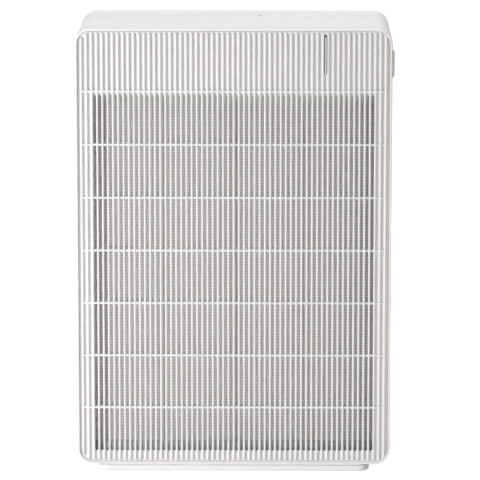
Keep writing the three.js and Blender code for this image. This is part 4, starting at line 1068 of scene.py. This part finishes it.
def screwShape(length, shank, head, headHeight):
    # a pan-head screw about the origin: its top at y = 0, its tip at -length,
    # with a thread and a cross recess
    form = screwForm
    threads = int((length - headHeight) / form["pitch"])
    profile = [(0, -length), (shank * form["tip"], -length)]
    for k in range(threads):
        y = -length + (k + form["firstTurn"]) * form["pitch"]
        profile += [(shank * form["root"], y), (shank, y + form["rise"])]
    profile += [(shank * form["neck"], -headHeight), (head, -headHeight),
                (head, -headHeight * form["rimDrop"])]
    profile += [(head * (0.94 - 0.2 * k), -headHeight * (0.4 - 0.16 * k)) for k in range(3)] + [(0, 0)]
    screw = turned("screw", profile, (0, 0), "Y", 20)
    reach, slot, floor = head * form["crossReach"], head * form["crossHalf"], -headHeight * form["crossDepth"]
    blades = [((-reach, floor, -slot), (reach, mm, slot)), ((-slot, floor, -reach), (slot, mm, reach))]
    return cutAway(screw, [block("crossTool", a, b) for a, b in blades])


def buildScrews():
    sets = {
        "rearScrews": (["rear_screw_%d" % i for i in (1, 2, 3, 4)], 1.9, 4.2),
        "baseScrews": (["base_screw_%d" % i for i in (1, 2, 3, 4)], 1.9, 4.2),
        "motorScrews": (["motor_screw_%d" % i for i in (1, 2, 3)], 1.4, 3.0),
    }
    for name, (nodes, shank, head) in sets.items():
        upright = name == "baseScrews"
        low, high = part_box(nodes[0])
        length = high.z - low.z if upright else high.y - low.y
        shape = screwShape(length, shank * mm, head * mm, 2.4 * mm)
        spots = []
        for node in nodes:
            low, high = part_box(node)
            middle = (low + high) / 2
            spots.append((middle.x, middle.y, low.z) if upright else (middle.x, high.y, middle.z))
        if upright:
            shape.data.transform(Matrix.Rotation(-quarter, 4, "X"))
        finish(copyTo(name, shape, spots, paint["zincSteel"]), paint["zincSteel"], "housing", "steel", *nodes)


# a groove's points are their distances in from its outer edge and up from the sole, in mm
footShape = {"soft": 0.7 * mm, "grooveRadii": (5.6, 3.6),
             "groove": ((0, 0), (0.3, 0.3), (0.7, 0.3), (1.0, 0))}


def buildFeet():
    low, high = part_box("foot_front_left")
    radius, soft = (high.x - low.x) / 2, footShape["soft"]
    profile = [(0, high.z), (radius, high.z)] + arc((radius - soft, low.z + soft), soft, 0, -quarter)
    for r in footShape["grooveRadii"]:
        profile += [((r - inset) * mm, low.z + rise * mm) for inset, rise in footShape["groove"]]
    foot = turned("foot", profile + [(0, low.z)], (0, 0), "Z", 40)
    nodes = ["foot_front_left", "foot_front_right", "foot_rear_left", "foot_rear_right"]
    spots = [(middleOf(node).x, middleOf(node).y, 0) for node in nodes]
    finish(copyTo("rubberFeet", foot, spots, paint["rubber"]), paint["rubber"], "housing", "rubber", *nodes)


def buildSensorLens():
    low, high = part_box("light_sensor_lens")
    radius, rise = (high.x - low.x) / 2, 0.6 * mm
    middle = middleOf("light_sensor_lens")
    dome = [(radius * math.cos(t), high.z - rise + rise * math.sin(t))
            for t in (quarter * k / 5 for k in range(6))]
    eye = turned("lightSensorLens", [(0, low.z), (radius, low.z)] + dome, (middle.x, middle.y), "Z", 28)
    finish(eye, paint["darkLens"], "housing", "dark_lens", "light_sensor_lens")


buildKeyMarks()
buildOutletGrille()
finish(softCopy("handle_cup", "handleCup", 0.8, 3), paint["whiteAbs"], "housing", "white_plastic",
       "handle_cup")
buildGland()
buildScrews()
buildFeet()
buildSensorLens()
print("fittings ready")

cartridge = {"pleatPitch": 4.8 * mm, "pleatThick": 0.45 * mm, "cell": 5 * mm, "cellWall": 0.7 * mm,
             "cellDepth": 2.4 * mm, "sheetOverlap": 0.2 * mm, "beadPitch": 46 * mm, "beadWidth": 1.8 * mm,
             "beadSink": 0.1 * mm, "beadProud": 0.7 * mm, "beadSoft": 0.35}


def buildPleats():
    low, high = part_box("filter_media")
    thick = cartridge["pleatThick"]
    count = round((high.x - low.x) / cartridge["pleatPitch"])
    pitch = (high.x - low.x) / count
    section = [(0, low.y), (pitch / 2, high.y - thick), (pitch, low.y),
               (pitch, low.y + thick), (pitch / 2, high.y), (0, low.y + thick)]
    verts = [(low.x + x, y, z) for z in (low.z, high.z) for x, y in section]
    faces = [(0, 1, 4, 5), (1, 2, 3, 4), (6, 7, 10, 11), (7, 8, 9, 10)]
    faces += [(k, (k + 1) % 6, (k + 1) % 6 + 6, k + 6) for k in range(6)]
    fold = newPiece("pleats", verts, faces)
    pleats = runTree(fold, rowOfCopies, {"Count": count, "Step": (pitch, 0, 0),
                                         "Material": paint["filterPaper"]})
    finish(pleats, paint["filterPaper"], "filter_cartridge", "filter_paper", "filter_media", angle=20)
    half = cartridge["beadWidth"] / 2
    rows = int((high.z - low.z) / cartridge["beadPitch"])
    start = low.z + (high.z - low.z - (rows - 1) * cartridge["beadPitch"]) / 2
    bead = block("glueBeads", (low.x, high.y - cartridge["beadSink"], start - half),
                 (high.x, high.y + cartridge["beadProud"], start + half), cartridge["beadSoft"])
    beads = runTree(bead, rowOfCopies, {"Count": rows, "Step": (0, 0, cartridge["beadPitch"]),
                                        "Material": paint["hotMelt"]})
    finish(beads, paint["hotMelt"], "filter_cartridge", "filter_paper")


def buildHoneycomb():
    # every second corner of the cells carries three walls, which makes the whole comb
    low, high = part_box("carbon_layer")
    side, half, deep = cartridge["cell"], cartridge["cellWall"] / 2, cartridge["cellDepth"]
    walls = []
    for turn in (0, 2, 4):
        cellWall = block("combWall", (-half, low.y, 0), (half, low.y + deep, side))
        cellWall.data.transform(Matrix.Rotation(turn * math.pi / 3, 4, "Y"))
        walls.append(cellWall)
    corner = joinPieces("combCorner", walls)
    across, up = math.sqrt(3) * side, 1.5 * side
    columns = int((high.x - low.x - 2 * across) / across) + 1
    rows = int((high.z - low.z - 4 * side) / (2 * up)) + 1
    startX = -(columns - 0.5) * across / 2 + across / 4
    startZ = (low.z + high.z) / 2 - (rows - 0.5) * up
    combs = []
    for shift in (0, 1):
        comb = newPiece("comb", [v.co for v in corner.data.vertices],
                        [tuple(f.vertices) for f in corner.data.polygons])
        comb.data.transform(Matrix.Translation((startX + (shift - 0.5) * across / 2, 0, startZ + shift * up)))
        comb = runTree(comb, rowOfCopies, {"Count": columns, "Step": (across, 0, 0),
                                           "Material": paint["darkNylon"]})
        comb = runTree(comb, rowOfCopies, {"Count": rows, "Step": (0, 0, 2 * up),
                                           "Material": paint["darkNylon"]})
        combs.append(comb)
    bpy.data.objects.remove(corner)
    finish(joinPieces("honeycomb", combs), paint["darkNylon"], "filter_cartridge", "carbon")
    sheet = block("carbonSheet", (low.x, low.y + deep - cartridge["sheetOverlap"], low.z), high, 0.2)
    finish(sheet, paint["carbon"], "filter_cartridge", "carbon", "carbon_layer")


buildPleats()
buildHoneycomb()
finish(softCopy("filter_frame", "cartridgeFrame", 0.5), paint["filterCard"], "filter_cartridge",
       "filter_paper", "filter_frame")
finish(softCopy("filter_gasket", "cartridgeGasket", 0.5), paint["foam"], "filter_cartridge", "foam",
       "filter_gasket")
finish(softCopy("filter_pull_tab", "cartridgePullTab", 0.45, 3), paint["foam"], "filter_cartridge",
       "foam", "filter_pull_tab")
print("filter cartridge ready")

fan = {"bladeCount": 9, "bladeSpan": 38 * mm, "bladeThick": 2 * mm, "bladeSweep": 42, "shroudWidth": 22 * mm,
       "hubRadius": 34 * mm, "hubNose": 24 * mm, "shaftRadius": 4 * mm, "guardBar": 2.4 * mm, "guardRings": 3,
       "guardSpokes": 6, "guardSoft": 0.5 * mm, "plateThick": 2 * mm, "boreGap": 0.3 * mm,
       "hubSetBack": 13 * mm, "hubWall": 3 * mm, "coneBend": 1.6, "edgeSoft": 0.6 * mm,
       "shroudRise": 8 * mm, "shroudBend": 0.7,
       "shroudThick": 2 * mm}
# a blade's front edge follows the shroud: it starts so far behind the front and rises over its outer part
blade = {"frontGap": 5.2 * mm, "frontRise": 3.6 * mm, "riseFrom": 0.42, "riseSpan": 0.58,
         "tipInset": 0.6 * mm, "plateSink": 0.5 * mm, "thinShare": 0.35, "fatShare": 0.65,
         "fatShift": 0.15, "fatEnd": 0.9}
fanMiddle = middleOf("impeller")


def buildGuard():
    low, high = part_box("fan_guard")
    outer, bar, soft = (high.x - low.x) / 2, fan["guardBar"], fan["guardSoft"]
    parts = []
    for i in range(1, fan["guardRings"] + 1):
        r = outer * i / fan["guardRings"]
        section = [(r - bar, low.y + soft), (r - bar + soft, low.y), (r - soft, low.y), (r, low.y + soft),
                   (r, high.y - soft), (r - soft, high.y), (r - bar + soft, high.y), (r - bar, high.y - soft)]
        parts.append(turned("guardRing", section, (fanMiddle.x, fanMiddle.z), "Y", 96))
    hub = outer / 6
    parts.append(turned("guardHub", [(0, low.y), (hub - soft, low.y), (hub, low.y + soft), (hub, high.y),
                                     (0, high.y)],
                        (fanMiddle.x, fanMiddle.z), "Y", 48))
    spoke = block("guardSpoke", (hub - mm, low.y + 0.1 * mm, -bar / 2),
                  (outer - bar / 2, high.y - 0.1 * mm, bar / 2), 0.4)
    parts.append(runTree(spoke, ringOfCopies, {
        "Count": fan["guardSpokes"], "Centre": (fanMiddle.x, 0, fanMiddle.z), "Material": paint["darkNylon"],
    }))
    finish(joinPieces("fanGuard", parts), paint["darkNylon"], "housing", "dark_plastic", "fan_guard")


# the inner bend's points are their distances out from the throat and back from the front, in mm
bellShape = {"tipGap": 0.8 * mm, "wall": 1.7 * mm, "bend": 2.4 * mm, "bendShift": 0.7 * mm,
             "rimSoft": 0.4 * mm, "flangeThick": 1.8 * mm, "innerBend": ((2.3, 1.8), (0.6, 2.3), (0, 3.1))}


def buildBell():
    low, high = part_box("inlet_bell")
    rim, throat = (high.x - low.x) / 2, bladeReach() - fan["shroudWidth"] - bellShape["tipGap"]
    inside, bend, soft = throat - bellShape["wall"], bellShape["bend"], bellShape["rimSoft"]
    under = low.y + bellShape["flangeThick"]
    profile = (
        [(inside, high.y), (inside, low.y + bend)]
        + arc((throat + bellShape["bendShift"], low.y + bend), bend, math.pi, 3 * quarter, 6)
        + [(rim - soft, low.y), (rim, low.y + soft), (rim, under)]
        + [(throat + out * mm, low.y + back * mm) for out, back in bellShape["innerBend"]]
        + [(throat, high.y)]
    )
    bell = turned("inletBell", profile, (fanMiddle.x, fanMiddle.z), "Y", 96)
    finish(bell, paint["darkNylon"], "housing", "dark_plastic", "inlet_bell")


def bladeReach():
    low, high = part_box("impeller")
    return (high.x - low.x) / 2


def buildImpeller():
    low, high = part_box("impeller")
    reach, centre = bladeReach(), (fanMiddle.x, fanMiddle.z)
    plate, bore = high.y - fan["plateThick"], fan["shaftRadius"] + fan["boreGap"]
    hubFront, nose, hub, hubWall = low.y + fan["hubSetBack"], fan["hubNose"], fan["hubRadius"], fan["hubWall"]
    cone = [(nose + (hub - nose) * t ** fan["coneBend"], hubFront + mm + (plate - hubFront - hubWall) * t)
            for t in (k / 8 for k in range(9))]
    profile = (
        [(bore, hubFront), (nose - mm, hubFront)] + cone
        + [(hub + hubWall, plate - fan["edgeSoft"]), (reach, plate), (reach, high.y),
           (hub - hubWall, high.y), (nose - hubWall, hubFront + hubWall), (bore, hubFront + hubWall)]
    )
    parts = [turned("hub", profile, centre, "Y", 96)]
    inner = reach - fan["shroudWidth"]
    front = [(inner + (reach - inner) * t, low.y + fan["shroudRise"] * t ** fan["shroudBend"])
             for t in (k / 8 for k in range(9))]
    shroud = front + [(r, y + fan["shroudThick"]) for r, y in reversed(front)]
    parts.append(turned("shroud", shroud, centre, "Y", 96))
    steps, root = 12, reach - fan["bladeSpan"]
    outlineOf = {side: [] for side in (-1, 1)}
    for k in range(steps + 1):
        t = k / steps
        r = root + (reach - blade["tipInset"] - root) * t
        for side in (-1, 1):
            swell = math.sin(math.pi * min(t + blade["fatShift"], blade["fatEnd"]))
            taper = fan["bladeThick"] / 2 * (blade["thinShare"] + blade["fatShare"] * swell)
            angle = math.radians(fan["bladeSweep"]) * t + side * taper / r
            outlineOf[side].append((r * math.cos(angle), r * math.sin(angle), t))
    rings, far = [], plate + blade["plateSink"]
    for (ax, az, t), (bx, bz, _) in zip(outlineOf[-1], outlineOf[1]):
        rise = blade["frontRise"] * max(0, (t - blade["riseFrom"]) / blade["riseSpan"])
        near = low.y + blade["frontGap"] + rise
        rings.append([(ax, near, az), (bx, near, bz), (bx, far, bz), (ax, far, az)])
    parts.append(runTree(newPiece("blades", *skin(rings)), ringOfCopies, {
        "Count": fan["bladeCount"], "Centre": (centre[0], 0, centre[1]), "Material": paint["darkNylon"],
    }))
    finish(joinPieces("impeller_", parts), paint["darkNylon"], "fan_rotor", "dark_plastic", "impeller")


motorShape = {"flangeWidth": 14 * mm, "flangeSetIn": 5 * mm, "flangeThick": 2 * mm, "flangeSoft": 0.5 * mm,
              "noseRadius": 18 * mm, "rotorGap": 2 * mm, "frontSoft": 1.5 * mm, "backRound": 3 * mm,
              "dishRadius": 12 * mm, "ribStart": 14 * mm, "ribEnd": 5 * mm, "ribCount": 12,
              "mountGap": 0.6 * mm, "mountSoft": 0.5 * mm, "mountInnerSoft": 0.3 * mm,
              "shaftSoft": 0.6 * mm, "nutSoft": 0.35}


def buildMotor():
    low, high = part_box("motor")
    centre = (fanMiddle.x, fanMiddle.z)
    flange = (high.x - low.x) / 2
    body = flange - motorShape["flangeWidth"]
    flangeBack = high.y - motorShape["flangeSetIn"]
    flangeFront, edge = flangeBack - motorShape["flangeThick"], motorShape["flangeSoft"]
    bore, nose = fan["shaftRadius"] + fan["boreGap"], motorShape["noseRadius"]
    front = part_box("impeller")[1].y + motorShape["rotorGap"]
    soft, bend, dish = motorShape["frontSoft"], motorShape["backRound"], motorShape["dishRadius"]
    profile = (
        [(0, front), (bore, front), (bore, low.y), (nose - mm, low.y), (nose, low.y + mm), (nose, front)]
        + arc((body - soft, front + soft), soft, -quarter, 0)
        + [(body, flangeFront), (flange - edge, flangeFront), (flange, flangeFront + edge),
           (flange, flangeBack), (body + mm, flangeBack)]
        + arc((body - bend, high.y - bend), bend, 0, quarter, 6)
        + [(dish, high.y), (dish - mm, high.y - mm), (0, high.y - mm)]
    )
    can = turned("motorCan", profile, centre, "Y", 72)
    rib = block("motorRib", (motorShape["ribStart"], high.y - edge, -mm),
                (body - motorShape["ribEnd"], high.y, mm), 0.2)
    ribs = runTree(rib, ringOfCopies, {"Count": motorShape["ribCount"], "Centre": (centre[0], 0, centre[1]),
                                       "Material": paint["galvanised"]})
    finish(joinPieces("fanMotor", [can, ribs]), paint["galvanised"], "housing", "motor_metal", "motor")
    low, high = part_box("motor_mount")
    outer, inner = (high.x - low.x) / 2, body + motorShape["mountGap"]
    soft, lip = motorShape["mountSoft"], motorShape["mountInnerSoft"]
    section = [(inner, low.y + lip), (inner + lip, low.y), (outer - soft, low.y), (outer, low.y + soft),
               (outer, high.y - soft), (outer - soft, high.y), (inner + lip, high.y), (inner, high.y - lip)]
    finish(turned("motorMount", section, centre, "Y", 72), paint["rubber"], "housing", "rubber",
           "motor_mount")
    low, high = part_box("motor_shaft")
    radius, soft = fan["shaftRadius"], motorShape["shaftSoft"]
    shaft = turned("motorShaft", [(0, low.y), (radius - soft, low.y), (radius, low.y + soft),
                                  (radius, high.y), (0, high.y)],
                   centre, "Y", 40)
    finish(shaft, paint["zincSteel"], "fan_rotor", "steel", "motor_shaft")
    low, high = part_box("hub_nut")
    across, hole = 2 * radius, radius + fan["boreGap"]
    rings = []
    for r, y in ((hole, low.y), (across, low.y), (across, high.y), (hole, high.y)):
        turns = [math.pi / 3 * k for k in range(6)]
        rings.append([(centre[0] + r * math.sin(t), y, centre[1] + r * math.cos(t)) for t in turns])
    nut = bevelEdges(newPiece("hubNut", *skin(rings, loop=True)), motorShape["nutSoft"])
    finish(nut, paint["zincSteel"], "fan_rotor", "steel", "hub_nut")


buildGuard()
buildBell()
buildImpeller()
buildMotor()
for node, name in (("filter_bay", "filterBay"), ("fan_scroll", "fanScroll"), ("outlet_duct", "outletDuct")):
    finish(softCopy(node, name, 0.4), paint["greyPolypropylene"], "housing", "grey_plastic", node)
print("fan ready")


# modules are a near and a far corner and a height, and cans a place, a radius and a height, all in mm
boards = {"thick": 1.6 * mm, "soft": 0.1, "chipCount": 3, "chipStart": 18, "chipPitch": 16, "chipWide": 9,
          "chipThick": 1.2 * mm, "canSoft": 0.6,
          "modules": (((6, 4), (26, 22), 16), ((8, 28), (20, 40), 10), ((24, 26), (30, 32), 6),
                      ((33, 22), (46, 26), 9)),
          "cans": ((40, 10, 6, 20.4), (30, 8, 3, 11), (30, 16, 3, 11))}


def buildBoards():
    low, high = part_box("control_board")
    thick, soft = boards["thick"], boards["soft"]
    slab = block("controlBoard", (low.x, low.y, high.z - thick), high, soft, 1)
    finish(slab, paint["circuitBoard"], "housing", "circuit_board", "control_board")
    parts = [((high.x - 12 * mm, high.y - 16 * mm, high.z - 8 * mm),
              (high.x - 2 * mm, high.y - 4 * mm, high.z - thick), 0.5)]
    for k in range(boards["chipCount"]):
        x = low.x + (boards["chipStart"] + boards["chipPitch"] * k) * mm
        parts.append(((x, low.y + 4 * mm, high.z - thick - boards["chipThick"]),
                      (x + boards["chipWide"] * mm, low.y + 13 * mm, high.z - thick), 0.2))
    chips = joinPieces("controlParts", [block("chip", *spot) for spot in parts])
    finish(chips, paint["darkNylon"], "housing", "circuit_board")
    low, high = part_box("status_led_board")
    slab = block("statusLedBoard", low, high, soft, 1)
    finish(slab, paint["circuitBoard"], "front_cover", "circuit_board", "status_led_board")
    low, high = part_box("power_board")
    slab = block("powerBoard", low, (high.x, low.y + thick, high.z), soft, 1)
    finish(slab, paint["circuitBoard"], "housing", "circuit_board", "power_board")
    face = low.y + thick
    parts = [block("module", (low.x + a[0] * mm, face, low.z + a[1] * mm),
                   (low.x + b[0] * mm, face + tall * mm, low.z + b[1] * mm), 0.6)
             for a, b, tall in boards["modules"]]
    for x, z, radius, tall in boards["cans"]:
        rim = (radius - boards["canSoft"]) * mm
        profile = [(0, face), (radius * mm, face), (radius * mm, face + (tall - boards["canSoft"]) * mm),
                   (rim, face + tall * mm), (0, face + tall * mm)]
        parts.append(turned("capacitor", profile, (low.x + x * mm, low.z + z * mm), "Y", 28))
    finish(joinPieces("powerParts", parts), paint["darkNylon"], "housing", "circuit_board")


def buildSprings():
    nodes = ["touch_spring_%d" % i for i in (1, 2, 3)]
    low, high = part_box(nodes[0])
    wire, turns = 0.35 * mm, 6
    radius, tall = (high.x - low.x) / 2 - wire, high.z - low.z - 2 * wire
    path = [Vector((radius * math.cos(t), radius * math.sin(t), wire + tall * t / (2 * math.pi * turns)))
            for t in (2 * math.pi * turns * k / 96 for k in range(97))]
    spots = [(middleOf(node).x, middleOf(node).y, low.z) for node in nodes]
    springs = copyTo("touchSprings", tube("spring", path, wire, 8), spots, paint["zincSteel"])
    finish(springs, paint["zincSteel"], "housing", "steel", *nodes, angle=60)


def buildSensorBox():
    low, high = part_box("particle_sensor")
    case = block("sensorCase", low, high, 0.8)
    rib = block("sensorRibs", (low.x - 0.5 * mm, low.y + 4 * mm, low.z + 5 * mm),
                (low.x + 0.1 * mm, high.y - 4 * mm, low.z + 6.5 * mm), 0.2)
    ribs = runTree(rib, rowOfCopies, {"Count": 7, "Step": (0, 0, 4 * mm), "Material": paint["darkNylon"]})
    finish(joinPieces("particleSensor", [case, ribs]), paint["darkNylon"], "housing", "dark_plastic",
           "particle_sensor")


buildBoards()
buildSprings()
buildSensorBox()
for node, name in (("motor_cable", "motorCable"), ("control_cable", "controlCable")):
    finish(softCopy(node, name, 0), paint["cableSheath"], "housing", "cable", node, angle=60)
print("electronics ready")
